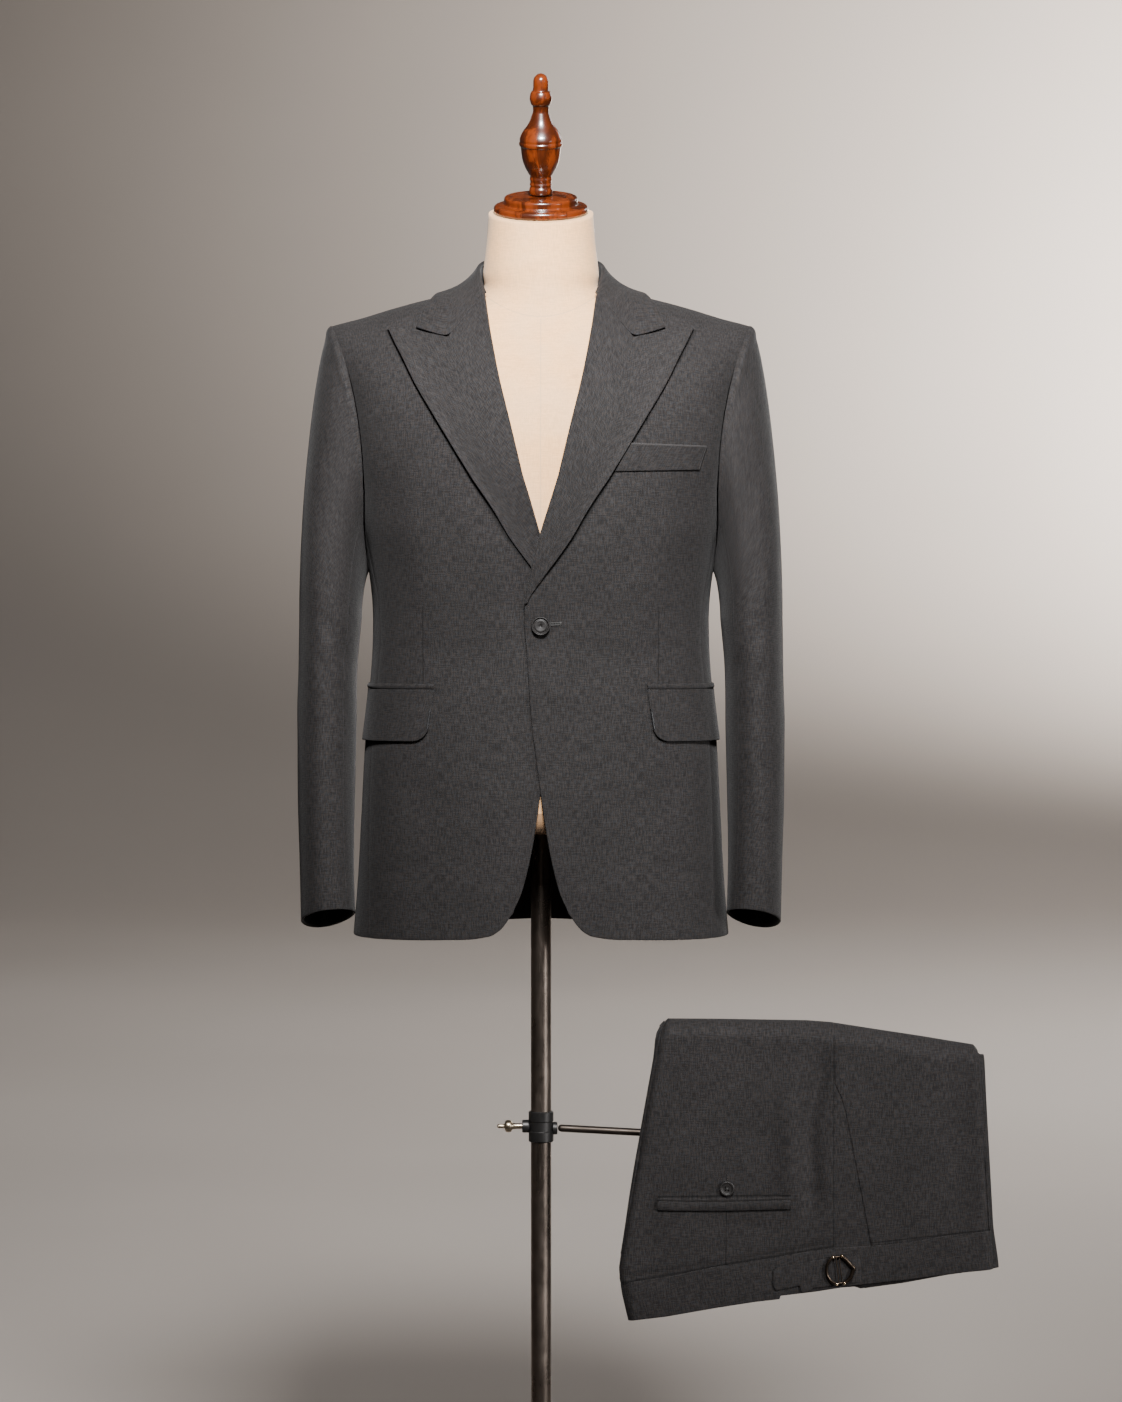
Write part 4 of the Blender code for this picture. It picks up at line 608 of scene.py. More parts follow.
def side_grid(across, rows):
    """The left side panel between the two side seams, up to the low part of the armhole."""
    low = np.linspace(HEM_FRONT, FRONT_SEAM_TOP, rows)
    left = np.stack([side_angle(curve(low, FRONT_SEAM), low, -1), low], axis=1)
    high = np.linspace(HEM_SIDE, BACK_SEAM_TOP, rows)
    right = np.stack([side_angle(curve(high, BACK_SEAM), high, 1), high], axis=1)
    turn = np.sin(np.linspace(0, np.pi / 2, 200))
    front = FRONT_SEAM_TOP + (ARMHOLE[0, 0] - FRONT_SEAM_TOP) * turn
    back = ARMHOLE[0, 0] + (BACK_SEAM_TOP - ARMHOLE[0, 0]) * (1 - turn[::-1])
    rim = np.concatenate([
        np.stack([side_angle(armhole_x(front), front, -1), front], axis=1),
        np.stack([side_angle(armhole_x(back), back, 1), back], axis=1)[1:],
    ])
    share = np.linspace(0, 1, across)
    angles = left[-1, 0] + share * (right[-1, 0] - left[-1, 0])
    top = np.stack([angles, np.interp(angles, rim[:, 0], rim[:, 1])], axis=1)
    hem = HEM_FRONT + (HEM_SIDE - HEM_FRONT) * share
    bottom = np.stack([left[0, 0] + share * (right[0, 0] - left[0, 0]), hem], axis=1)
    bottom[0], bottom[-1], top[0], top[-1] = left[0], right[0], left[-1], right[-1]
    flat = coons(bottom, top, left, right)
    return round_body(flat[..., 0], flat[..., 1])


def back_grid(across, rows):
    """The left back from its centre seam to the side seam and armhole, as (x, level)."""
    nape = float(level_of(np.array(0.0), np.array(NAPE)))
    right = outer_edge(HEM_SIDE, BACK_SEAM, BACK_SEAM_TOP, rows)
    rise = (right[:, 1] - HEM_SIDE) / (SEAM_LEVEL - HEM_SIDE)
    left = np.stack([np.zeros(rows), HEM_BACK + rise * (nape - HEM_BACK)], axis=1)
    x = np.linspace(0, right[0, 0], across)
    bottom = np.stack([x, np.interp(x, [0, right[0, 0]], [HEM_BACK, HEM_SIDE])], axis=1)
    neck = FRONT_EDGE[-1, 1]
    turn = np.linspace(0, np.pi / 2, 60)
    arc = np.stack([neck * np.sin(turn), nape + (SEAM_LEVEL - nape) * (1 - np.cos(turn))], axis=1)
    line = np.concatenate([arc, [(ARMHOLE[-1, 1], SEAM_LEVEL)]])
    return coons(bottom, along(line, across), left, right, rise=rise)


def lapel_grid(across, rows):
    """The left lapel from its roll line to its edge and up to the gorge, notch and peak, as (x, level)."""
    edge = flat_points(LAPEL_EDGE[:, 1], LAPEL_EDGE[:, 0])
    at = np.linspace(edge[0, 1], edge[-1, 1], rows)
    right = np.stack([curve(at, edge[:, ::-1]), at], axis=1)
    roll = flat_points(FRONT_EDGE[ROLL_START:-1, 1], FRONT_EDGE[ROLL_START:-1, 0])
    at = np.linspace(roll[0, 1] + 0.0002, roll[-1, 1], rows)
    left = np.stack([curve(at, roll[:, ::-1]), at], axis=1)
    top = flat_points(LAPEL_TOP[:, 0], LAPEL_TOP[:, 1])
    top = through(top, across, NOTCH, (across - 1) // 2)
    bottom = left[0] + np.linspace(0, 1, across)[:, None] * (right[0] - left[0])
    left[-1], right[-1] = top[0], top[-1]
    return coons(bottom, top, left, right)


def lapel_lift(flat, under, roll):
    """Height of a lapel's outer face above the front: highest near the roll line."""
    across = np.linspace(0, 1, flat.shape[0])[:, None]
    start, length = (1.235, 0.06) if under else (1.170, 0.05)
    free = step((flat[..., 1] - start) / length)
    edge = EDGE_CURL * step((across - 0.80) / 0.2) * free
    return LAPEL_GAP + CLOTH + roll * (1 - across) ** 2 * free + edge


def softened(grid, axis, times):
    """The grid with its inner points averaged with their neighbours along one axis, some times over."""
    grid = np.moveaxis(grid.copy(), axis, 0)
    for _ in range(times):
        grid[1:-1] = 0.5 * grid[1:-1] + 0.25 * (grid[:-2] + grid[2:])
    return np.moveaxis(grid, 0, axis)


def kept_clear(points, lift):
    """The points, pushed out where they lie less than lift outside the jacket's shoulders."""
    x, y, z = np.moveaxis(points, -1, 0)
    top = curve(np.abs(x), SHOULDER)
    high = np.maximum(z - CHEST, 0) / (top - CHEST)
    ahead = np.abs(y) / np.maximum(np.where(y < 0, reach(x, z), reach(x, z, True)), 1e-6)
    push = np.maximum((1 + lift / 0.15) / np.maximum(np.hypot(high, ahead), 1e-6), 1)
    return columns(x, y * push, CHEST + (z - CHEST) * push)


def stand_foot(share):
    """Neck seam inside the collar, an arc round the neck from the nape to the front."""
    turn = share * np.radians(142)
    radius = 0.0690 - 0.0008 * np.sin(np.clip(turn, 0, np.pi / 2))
    height = np.interp(share, [0, 0.6, 1], [1.5065, 1.510, 1.4980])
    foot = np.stack([radius * np.sin(turn), radius * np.cos(turn), height], axis=1)
    last = COLLAR_FOLD[-1] + (-0.0004, 0.0030, -0.0005)
    blend = np.clip((share - 0.6) / 0.4, 0, 1)[:, None]
    return foot * (1 - blend) + last * blend


def collar_edge(share):
    """Outer edge of the collar on the shoulders, from the nape to its front corner."""
    place = curve(share, COLLAR_EDGE)
    x, z = place[:, 0], place[:, 1]
    side = curve(share, COLLAR_SIDE)
    front = body(flat_points(x, np.minimum(z, curve(x, SHOULDER) - 0.0002)))
    ahead = step((share - 0.54) / 0.10)
    y = side * (1 - ahead) + (front[:, 1] - LAPEL_GAP - CLOTH) * ahead
    height = (z + 0.004) * (1 - ahead) + (front[:, 2] + 0.001) * ahead
    return np.stack([x, y, height], axis=1)


def collar_half(columns, stand_rows, fall_rows):
    """Half of the collar, [column, row]: up the stand, then a parabola over the fold down to the edge."""
    share = np.linspace(0, 1, columns)
    fold = smoothly(COLLAR_FOLD, columns)
    neck = stand_foot(share)
    edge = collar_edge(share)
    out = fold[:, :2] + 0.22 * (edge[:, :2] - fold[:, :2])
    drop = np.interp(share, [0, 0.5, 1], [0.50, 0.66, 0.50])
    middle = np.column_stack([out, fold[:, 2] + drop * (edge[:, 2] - fold[:, 2])])
    w = np.linspace(0, 1, fall_rows)[None, :, None]
    fall = (1 - w) ** 2 * fold[:, None] + 2 * w * (1 - w) * middle[:, None] + w * w * edge[:, None]
    front = through(COLLAR_FRONT, fall_rows, NOTCH, round(0.714 * (fall_rows - 1)))
    target = body(flat_points(front[:, 0], front[:, 1])) - (0, LAPEL_GAP + CLOTH, 0)
    target[0] = fold[-1]
    near = np.clip((share - 0.55) / 0.45, 0, 1)[:, None, None] ** 1.6
    fall = kept_clear(fall + near * (target - fall[-1])[None], LAPEL_GAP + CLOTH)
    up = np.linspace(0, 1, stand_rows)[None, :-1, None]
    stand = neck[:, None] + (fold - neck)[:, None] * up
    return np.concatenate([stand, fall], axis=1)


def armhole_loop(angle):
    """Armhole seam by angle: zero at the shoulder tip, a quarter turn in front, half a turn under the arm."""
    low, high = ARMHOLE[0, 0], ARMHOLE[-1, 0]
    z = (low + high) / 2 + (high - low) / 2 * np.cos(angle)
    x = armhole_x(z)
    front = body(flat_points(x, z))
    back = body(flat_points(x, z), back=True)
    loop = np.where((np.sin(angle) > 0)[:, None], front, back)
    loop[np.abs(np.sin(angle)) < 1e-6, 1] = 0
    return loop


def sleeve_section(angle, z):
    """Section of the left sleeve at a height: a superellipse, its inner side leaning off the hip."""
    ring = curve(z, SLEEVE)
    middle, half = (ring[..., 0] + ring[..., 1]) / 2, (ring[..., 0] - ring[..., 1]) / 2
    c, s = np.cos(angle), np.sin(angle)
    x = middle + half * squared(c, SLEEVE_POWER)
    y = ring[..., 2] - ring[..., 3] * squared(s, SLEEVE_POWER)
    x = x + ring[..., 4] * np.maximum(y + 0.065, 0) * (1 - c) / 2
    return columns(x, y, z)


def sleeve_grid(start, end, around, cap, down, side):
    """Part of a sleeve between two angles: a cubic Bezier crown from the armhole, then rings to the cuff."""
    angle = np.linspace(start, end, around)
    first = armhole_loop(angle)
    joined = sleeve_section(angle, np.full(around, SLEEVE_TOP))
    flat = (joined - first) * (1, 1, 0)
    first = first - flat * (0.0006 / np.linalg.norm(flat, axis=1, keepdims=True))
    out = first + 0.40 * flat
    over = joined + np.stack([0 * angle, 0 * angle, 0.45 * (first[:, 2] - SLEEVE_TOP)], axis=1)
    t = np.linspace(0, 1, cap)[None, :, None]
    crown = ((1 - t) ** 3 * first[:, None] + 3 * t * (1 - t) ** 2 * out[:, None]
             + 3 * t * t * (1 - t) * over[:, None] + t ** 3 * joined[:, None])
    cuff = CUFF + CUFF_SLOPE * np.sin(angle - 0.3)
    v = np.linspace(0, 1, down + 1)[None, 1:]
    z = SLEEVE_TOP + v * (cuff[:, None] - SLEEVE_TOP)
    arm = sleeve_section(np.repeat(angle[:, None], down, axis=1), z)
    grid = np.concatenate([crown, arm], axis=1)
    return eased_sleeve(grid, angle[:, None], side)


def eased_sleeve(grid, angle, side):
    """The sleeve with its roped head, which stands a little proud of the armhole, and its creases."""
    normal = normals(grid)
    steps = np.linalg.norm(np.diff(grid, axis=1), axis=2)
    far = np.concatenate([np.zeros((len(grid), 1)), steps.cumsum(axis=1)], axis=1)
    rope = 0.0020 * np.exp(-((far - 0.007) / 0.006) ** 2) * np.clip(np.cos(angle), 0, 1) ** 0.5
    radius, shift = 0.055, 0.0 if side > 0 else 0.014
    table = SLEEVE_CREASES * (radius, 1, radius, 1, 1, 1) + (0, shift, 0, shift, 0, 0)
    z = grid[..., 2]
    soft = sum(ridges(radius * (angle + turn), z, table) for turn in (0, -2 * np.pi))
    grid = grid + normal * (rope + soft * step(far / 0.03) * (1 if side > 0 else 0.85))[..., None]
    return grid if side > 0 else (grid * (-1, 1, 1))[::-1]


def wrapped(grid, side=1, lift=0.0):
    """A grid on the left side of the body, moved to one side, creased and moved out by lift."""
    lift = np.broadcast_to(np.asarray(lift, float), grid.shape[:2])
    if side < 0:
        grid, lift = (grid * (-1, 1, 1))[::-1], lift[::-1]
    normal = normals(grid)
    return creased(grid, normal) + normal * lift[..., None]


def hip_band(low, high, across, rows, corner):
    """A band round the left hip from its front end to past the side, with a round low front corner."""
    start = float(side_angle(np.array(FLAP_FRONT), np.array(FLAP_TOP), -1))
    share = (1 - np.cos(np.linspace(0, np.pi / 2, across)))[:, None]
    v = np.linspace(0, 1, rows)[None, :]
    end_run = 0.13 * share
    cut = corner - np.sqrt(np.maximum(corner ** 2 - np.maximum(corner - end_run, 0) ** 2, 0))
    lean = 0.026 * (1 - v) * (1 - share) ** 3 * (corner > 0)
    angle = start + share * (FLAP_END - start) + lean
    z = low + cut - 0.003 * share + v * (high - low - cut)
    return round_body(angle, z)


def bundle(flat):
    """The folded trousers at (x, run): up the face, half round the top fold, then down behind."""
    x, run = flat[..., 0], flat[..., 1]
    top = linear(x, PANT_TOP) - HALF
    turn = np.clip((run - top) / HALF, 0, np.pi)
    z = np.where(run > top + np.pi * HALF, 2 * top + np.pi * HALF - run, np.minimum(run, top))
    near = np.minimum(x - left_x(z), right_x(z) - x)
    near = np.clip(1 - near / EDGE_ROUND, 0, 1)
    radius = HALF - 0.6 * EDGE_ROUND * (1 - np.sqrt(np.clip(1 - near * near, 0, 1)))
    return columns(x, -radius * np.cos(turn), z + radius * np.sin(turn))


def folded(flat, lift=0.0, amount=1.0):
    """The creased surface of the folded trousers at (x, run), moved out by lift."""
    grid = bundle(flat)
    high = ridges(flat[..., 0], flat[..., 1], PANT_CREASES) * amount
    return grid + normals(grid) * (high + lift)[..., None]


def left_x(run):
    """Left side of the folded trousers at a height."""
    return linear(run, PANT_LEFT)


def right_x(run):
    """Right side of the folded trousers at a height."""
    return linear(run, PANT_RIGHT)


def seam_x(run):
    """The side seam: one place across at every height."""
    return np.full(np.shape(run), SIDE_SEAM)


def slant_x(run):
    """The slant pocket's edge, and the side seam above it."""
    return np.where(run < SLANT[-1, 0], linear(run, SLANT), SIDE_SEAM)


def fold_run(x, turn):
    """The run at a turn over the top fold."""
    return linear(x, PANT_TOP) - HALF + turn * HALF


def leg_grid(left, right, share, rows):
    """Grid (x, run) between two side lines, from the waistband seam over the top fold."""
    v = np.linspace(0, 1, rows)
    x0, x1 = float(left(np.array(0.45))), float(right(np.array(0.47)))
    bottom_x = x0 + share * (x1 - x0)
    bottom = np.stack([bottom_x, curve(bottom_x, PANT_BAND)], axis=1)
    t0, t1 = float(left(np.array(0.70))), float(right(np.array(0.69)))
    top_x = t0 + share * (t1 - t0)
    top = np.stack([top_x, fold_run(top_x, SKIN_TURN)], axis=1)
    z = bottom[0, 1] + v * (top[0, 1] - bottom[0, 1])
    side_l = np.stack([left(z), z], axis=1)
    z = bottom[-1, 1] + v * (top[-1, 1] - bottom[-1, 1])
    side_r = np.stack([right(z), z], axis=1)
    bottom[0], bottom[-1], top[0], top[-1] = side_l[0], side_r[0], side_l[-1], side_r[-1]
    return coons(bottom, top, side_l, side_r, share)


def rear_grid(across, rows):
    """Grid (x, run) of the folded leg behind, from past the top fold down to the waistband's bottom."""
    share = edge_dense(across)
    v = np.linspace(0, 1, rows)[None, :]
    low = 0.4480 + 0.010 * share[:, None]
    x_top = 0.1310 + share * (0.4715 - 0.1310)
    start = fold_run(x_top, 2.06)[:, None]
    top = linear(x_top, PANT_TOP)[:, None] - HALF
    end = 2 * top + np.pi * HALF - low
    run = start + v * (end - start)
    z = np.minimum(2 * top + np.pi * HALF - run, top)
    left, right = left_x(z) + 0.0012, right_x(z) + 0.0050
    return columns(left + share[:, None] * (right - left), run)


def strip(x, low, high, rows, sag=0.0):
    """Grid (x, height) of a band between two heights, with half a sine wave up each of its rungs."""
    v = np.linspace(0, 1, rows)
    low, high, sag = (np.broadcast_to(part, x.shape)[:, None] for part in (low, high, sag))
    z = low + v * (high - low) + sag
    return columns(x[:, None] + 0 * v, z), np.sin(np.pi * v)[None, :]


def edge_dense(count):
    """Shares from 0 to 1 that crowd towards both ends."""
    even = np.linspace(0, 1, count)
    return 0.35 * even + 0.65 * (1 - np.cos(np.pi * even)) / 2


def stack(share, turn, drop, depth):
    """A point of the hidden layers: share across, turn over the fold, share of the drop and of the depth."""
    crest = linear(0.1330 + share * 0.3380, PANT_TOP)
    inset = linear(depth, GROOVES)
    behind = (1 - np.cos(turn)) / 2
    low = linear(0.0965 + share * 0.3965, LAYER_LOW) + 0.004 * behind + inset
    centre = crest - SLOT_DEPTH - SLOT + depth * (SLOT_DEPTH + SLOT - HALF)
    edge = np.clip(1 - np.minimum(share, 1 - share) * 0.40 / EDGE_ROUND, 0, 1)
    rounding = 0.6 * EDGE_ROUND * (1 - np.sqrt(1 - edge * edge))
    radius = SLOT + depth * (STACK - rounding - SLOT)
    z = centre + radius * np.sin(turn) - drop * (centre - low)
    peek = (PEEK + PEEK_LOW * step((0.50 - z) / 0.05)) * np.maximum(behind, step((0.70 - depth) / 0.06))
    left, right = left_x(z) + inset, right_x(z) - inset + peek
    x = left + share * (right - left)
    dent = np.minimum(ridges(x, z, PANT_CREASES), 0) * depth * np.clip(np.cos(turn), 0, 1)
    return columns(x, -(radius + dent) * np.cos(turn), z)


def stack_sides(across, rows, fold, deep):
    """The six sides of the block of layers as grids of points."""
    turn = np.concatenate([np.zeros(rows), np.linspace(0, np.pi, fold)[1:-1], np.full(rows, np.pi)])
    drop = np.concatenate([np.linspace(1, 0, rows), np.zeros(fold - 2), np.linspace(0, 1, rows)])
    u, w = edge_dense(across), np.linspace(0, 1, deep)
    faces = [stack(u[:, None], turn[None], drop[None], depth) for depth in (1.0, 0.0)]
    faces += [stack(share, turn[None], drop[None], w[:, None]) for share in (0.0, 1.0)]
    faces += [stack(u[:, None], turn[end], drop[end], w[None]) for end in (0, -1)]
    return faces


def add_mesh(name, points, faces, made, uv=None, inner=None, inner_from=0):
    """A smooth mesh object at the origin; faces from inner_from on take the inner material."""
    mesh = bpy.data.meshes.new(name)
    mesh.from_pydata(points.tolist(), [], faces if isinstance(faces, list) else faces.tolist())
    mesh.materials.append(made)
    if inner is not None:
        mesh.materials.append(inner)
        index = np.zeros(len(mesh.polygons), np.int32)
        index[inner_from:] = 1
        mesh.polygons.foreach_set("material_index", index)
    if uv is not None:
        loops = np.zeros(len(mesh.loops), np.int32)
        mesh.loops.foreach_get("vertex_index", loops)
        layer = mesh.uv_layers.new(name="cloth")
        layer.data.foreach_set("uv", uv[loops].ravel())
    mesh.shade_smooth()
    obj = bpy.data.objects.new(name, mesh)
    bpy.context.scene.collection.objects.link(obj)
    return obj


def drawn_in(grid, by):
    """The grid slid in along its own lines, by the whole amount at its edges and by nothing in its middle."""
    for axis in (0, 1):
        tangent = unit(np.gradient(grid, axis=axis))
        share = np.linspace(1, -1, grid.shape[axis])
        grid = grid + by * tangent * (share[:, None, None] if axis == 0 else share[None, :, None])
    return grid


def cells(index):
    """Faces of a grid of point numbers."""
    return columns(index[:-1, :-1], index[1:, :-1], index[1:, 1:], index[:-1, 1:]).reshape(-1, 4)


def shell(name, grid, made, thick=CLOTH, gap=JOIN, uv=None, lining=None):
    """Cloth whose outside is the grid: two layers half a thickness off its middle, its rim a half circle."""
    uv = laid_flat(grid) if uv is None else uv
    middle = drawn_in(grid - normals(grid) * (thick / 2), gap + thick / 2)
    normal = normals(middle)
    m, n = grid.shape[:2]
    index = np.arange(m * n).reshape(m, n)
    rim = np.concatenate([index[:, 0], index[-1, 1:], index[-2::-1, -1], index[0, -2:0:-1]])
    push = np.zeros_like(middle)
    across, up = unit(np.gradient(middle, axis=0)), unit(np.gradient(middle, axis=1))
    push[0] -= across[0]
    push[-1] += across[-1]
    push[:, 0] -= up[:, 0]
    push[:, -1] += up[:, -1]
    flat = [middle.reshape(-1, 3)[rim], unit(push.reshape(-1, 3)[rim]), normal.reshape(-1, 3)[rim]]
    rings = [flat[0] + thick / 2 * (math.cos(a) * flat[1] + math.sin(a) * flat[2]) for a in RIM]
    front, back = middle + normal * thick / 2, middle - normal * thick / 2
    points = np.concatenate([front.reshape(-1, 3), back.reshape(-1, 3), *rings])
    count, around = m * n, len(rim)
    lines = [rim] + [2 * count + k * around + np.arange(around) for k in range(len(rings))] + [rim + count]
    edges = [
        columns(np.roll(a, -1), a, b, np.roll(b, -1)) for a, b in zip(lines, lines[1:])
    ]
    outside, inside = cells(index), cells(index)[:, ::-1] + count
    faces = np.concatenate([outside, *edges, inside])
    flat_uv = uv.reshape(-1, 2)
    all_uv = np.concatenate([flat_uv, flat_uv] + [flat_uv[rim]] * len(rings))
    obj = add_mesh(name, points, faces, made, all_uv, lining, len(faces) - len(inside))
    obj["flat"] = [float(np.ptp(uv[..., 0])), float(np.ptp(uv[..., 1]))]
    obj["area"] = float(np.linalg.norm(np.cross(*(np.gradient(grid, axis=k) for k in (0, 1))), axis=2).sum())
    return obj


def sewn(name, grid, garment, nodes, held, rests_on, made=None, **cut):
    """A shell which rides on its garment's body and stands for its CAD nodes; its cut's width, length and
    area are worked out but not kept.
    """
    body_name, slot = garment
    obj = shell(name, grid, made or worsted(slot), **cut)
    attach(obj, body_name)
    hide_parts(*nodes)
    width, length = (max(side, LEAST_CUT) for side in obj["flat"])
    area = min(obj["area"], width * length)
    del obj["flat"], obj["area"]
    area = max(area, 0.301 * width * length)


def rounded(profile, times=2, keep=0.22):
    """The profile with its corners cut by a share of each side, some times over; its ends stay."""
    for _ in range(times):
        a, b = profile[:-1], profile[1:]
        cut = np.stack([a + keep * (b - a), b - keep * (b - a)], axis=1).reshape(-1, profile.shape[1])
        profile = np.concatenate([profile[:1], cut[1:-1], profile[-1:]])
    return profile


def placed(points, axis="z", tilt=0.0, at=(0, 0, 0)):
    """Points made about the Z axis, turned to another axis, tilted forward and moved."""
    p = points[..., {"x": [2, 0, 1], "y": [1, 2, 0], "z": [0, 1, 2]}[axis]]
    c, s = math.cos(tilt), math.sin(tilt)
    y, z = p[..., 1] * c - p[..., 2] * s, p[..., 1] * s + p[..., 2] * c
    return columns(p[..., 0], y, z) + np.array(at)


def solid(name, rings, made, closed=False, sharp=None):
    """A solid through rings [ring, around]; its ends are filled, or its last ring joins its first."""
    m, n = rings.shape[:2]
    index = np.arange(m * n).reshape(m, n)
    index = np.concatenate([index, index[:, :1]], axis=1)
    if closed:
        index = np.concatenate([index, index[:1]])
    faces = cells(index).tolist()
    if not closed:
        faces += [index[0, :-1][::-1].tolist(), index[-1, :-1].tolist()]
    obj = add_mesh(name, rings.reshape(-1, 3), faces, made)
    tidy(obj.data, sharp)
    return obj


def tidy(mesh, sharp=None):
    """Merges doubled points, turns the faces outward and keeps edges over an angle sharp."""
    shape = bmesh.new()
    shape.from_mesh(mesh)
    bmesh.ops.remove_doubles(shape, verts=shape.verts, dist=1e-7)
    bmesh.ops.recalc_face_normals(shape, faces=shape.faces)
    if shape.calc_volume(signed=True) < 0:
        bmesh.ops.reverse_faces(shape, faces=shape.faces)
    shape.to_mesh(mesh)
    shape.free()
    if sharp:
        mesh.set_sharp_from_angle(angle=math.radians(sharp))


def turned(name, profile, made, segments=64, times=2, closed=False, sharp=None, **place):
    """A solid turned from (radius, distance) pairs about an axis."""
    profile = rounded(np.asarray(profile, float), times)
    angle = np.linspace(0, 2 * np.pi, segments, endpoint=False)[None, :]
    r, d = profile[:, :1], profile[:, 1:]
    points = columns(r * np.cos(angle), r * np.sin(angle), d + 0 * angle)
    return solid(name, placed(points, **place), made, closed, sharp)


def tube(name, path, radius, made, segments=20, side=(0.0, 1.0, 0.0), ends=True):
    """A round bar: circles square to a path, with half-round ends; side is square to the path's plane."""
    path = np.asarray(path, float)
    tangent = unit(np.gradient(path, axis=0))
    side = unit(np.broadcast_to(np.array(side, float), path.shape))
    up = unit(np.cross(tangent, side))
    side = np.cross(up, tangent)
    push, size = np.zeros(len(path)), np.ones(len(path))
    if ends:
        cap = np.radians([90, 70, 45, 20])
        push = np.concatenate([-np.sin(cap), push, np.sin(cap[::-1])]) * radius
        size = np.concatenate([np.cos(cap), size, np.cos(cap[::-1])])
        pick = np.clip(np.arange(len(push)) - len(cap), 0, len(path) - 1)
        path, tangent, side, up = path[pick], tangent[pick], side[pick], up[pick]
    angle = np.linspace(0, 2 * np.pi, segments, endpoint=False)
    ring = np.cos(angle)[None, :, None] * up[:, None] + np.sin(angle)[None, :, None] * side[:, None]
    size = np.maximum(size, 0.02)[:, None, None]
    points = (path + tangent * push[:, None])[:, None] + radius * size * ring
    return solid(name, points, made)


def combined(obj, other, how="DIFFERENCE"):
    """The object with another one taken out of it or joined to it, as one mesh."""
    tool = obj.modifiers.new("combined", "BOOLEAN")
    tool.operation = how
    tool.solver = "EXACT"
    tool.object = other
    mesh = bpy.data.meshes.new_from_object(obj.evaluated_get(bpy.context.evaluated_depsgraph_get()))
    obj.modifiers.clear()
    obj.data = mesh
    bpy.data.objects.remove(other)
    return obj


def joined(name, objects):
    """Several closed meshes as the parts of one mesh."""
    shape = bmesh.new()
    for obj in objects:
        shape.from_mesh(obj.data)
    mesh = bpy.data.meshes.new(name)
    shape.to_mesh(mesh)
    shape.free()
    mesh.materials.append(objects[0].data.materials[0])
    mesh.shade_smooth()
    for obj in objects:
        bpy.data.objects.remove(obj)
    whole = bpy.data.objects.new(name, mesh)
    bpy.context.scene.collection.objects.link(whole)
    return whole


def stitches(name, starts, ends, radius, made, bulge=0.0, out=(0, -1, 0)):
    """Threads from each start to its end, as round tubes along half sine waves as high as bulge."""
    starts, ends = np.asarray(starts, float), np.asarray(ends, float)
    t = np.linspace(0, 1, 9)
    path = starts[:, None] + (ends - starts)[:, None] * t[None, :, None]
    path = path + np.array(out) * (bulge * np.sin(np.pi * t))[None, :, None]
    tangent = unit(np.gradient(path, axis=1))
    side = unit(np.cross(tangent, np.array(out, float)))
    up = np.cross(side, tangent)
    angle = np.linspace(0, 2 * np.pi, 8, endpoint=False)
    size = radius * np.array([0.05, 0.7, 1, 1, 1, 1, 1, 0.7, 0.05])[None, :, None, None]
    ring = np.cos(angle)[:, None] * side[:, :, None] + np.sin(angle)[:, None] * up[:, :, None]
    points = path[:, :, None] + size * ring
    s, m, n = points.shape[:3]
    index = np.arange(s * m * n).reshape(s, m, n)
    index = np.concatenate([index, index[..., :1]], axis=2)
    a, b = index[:, :-1, :-1], index[:, 1:, :-1]
    faces = columns(a, index[:, :-1, 1:], index[:, 1:, 1:], b).reshape(-1, 4).tolist()
    faces += index[:, 0, :-1][:, ::-1].tolist() + index[:, -1, :-1].tolist()
    obj = add_mesh(name, points.reshape(-1, 3), faces, made)
    tidy(obj.data)
    return obj


def finished(obj, body_name, slot, *nodes):
    """A rigid piece that rides on a body and stands for CAD nodes; its slot is not used."""
    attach(obj, body_name)
    if nodes:
        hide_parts(*nodes)
    return obj


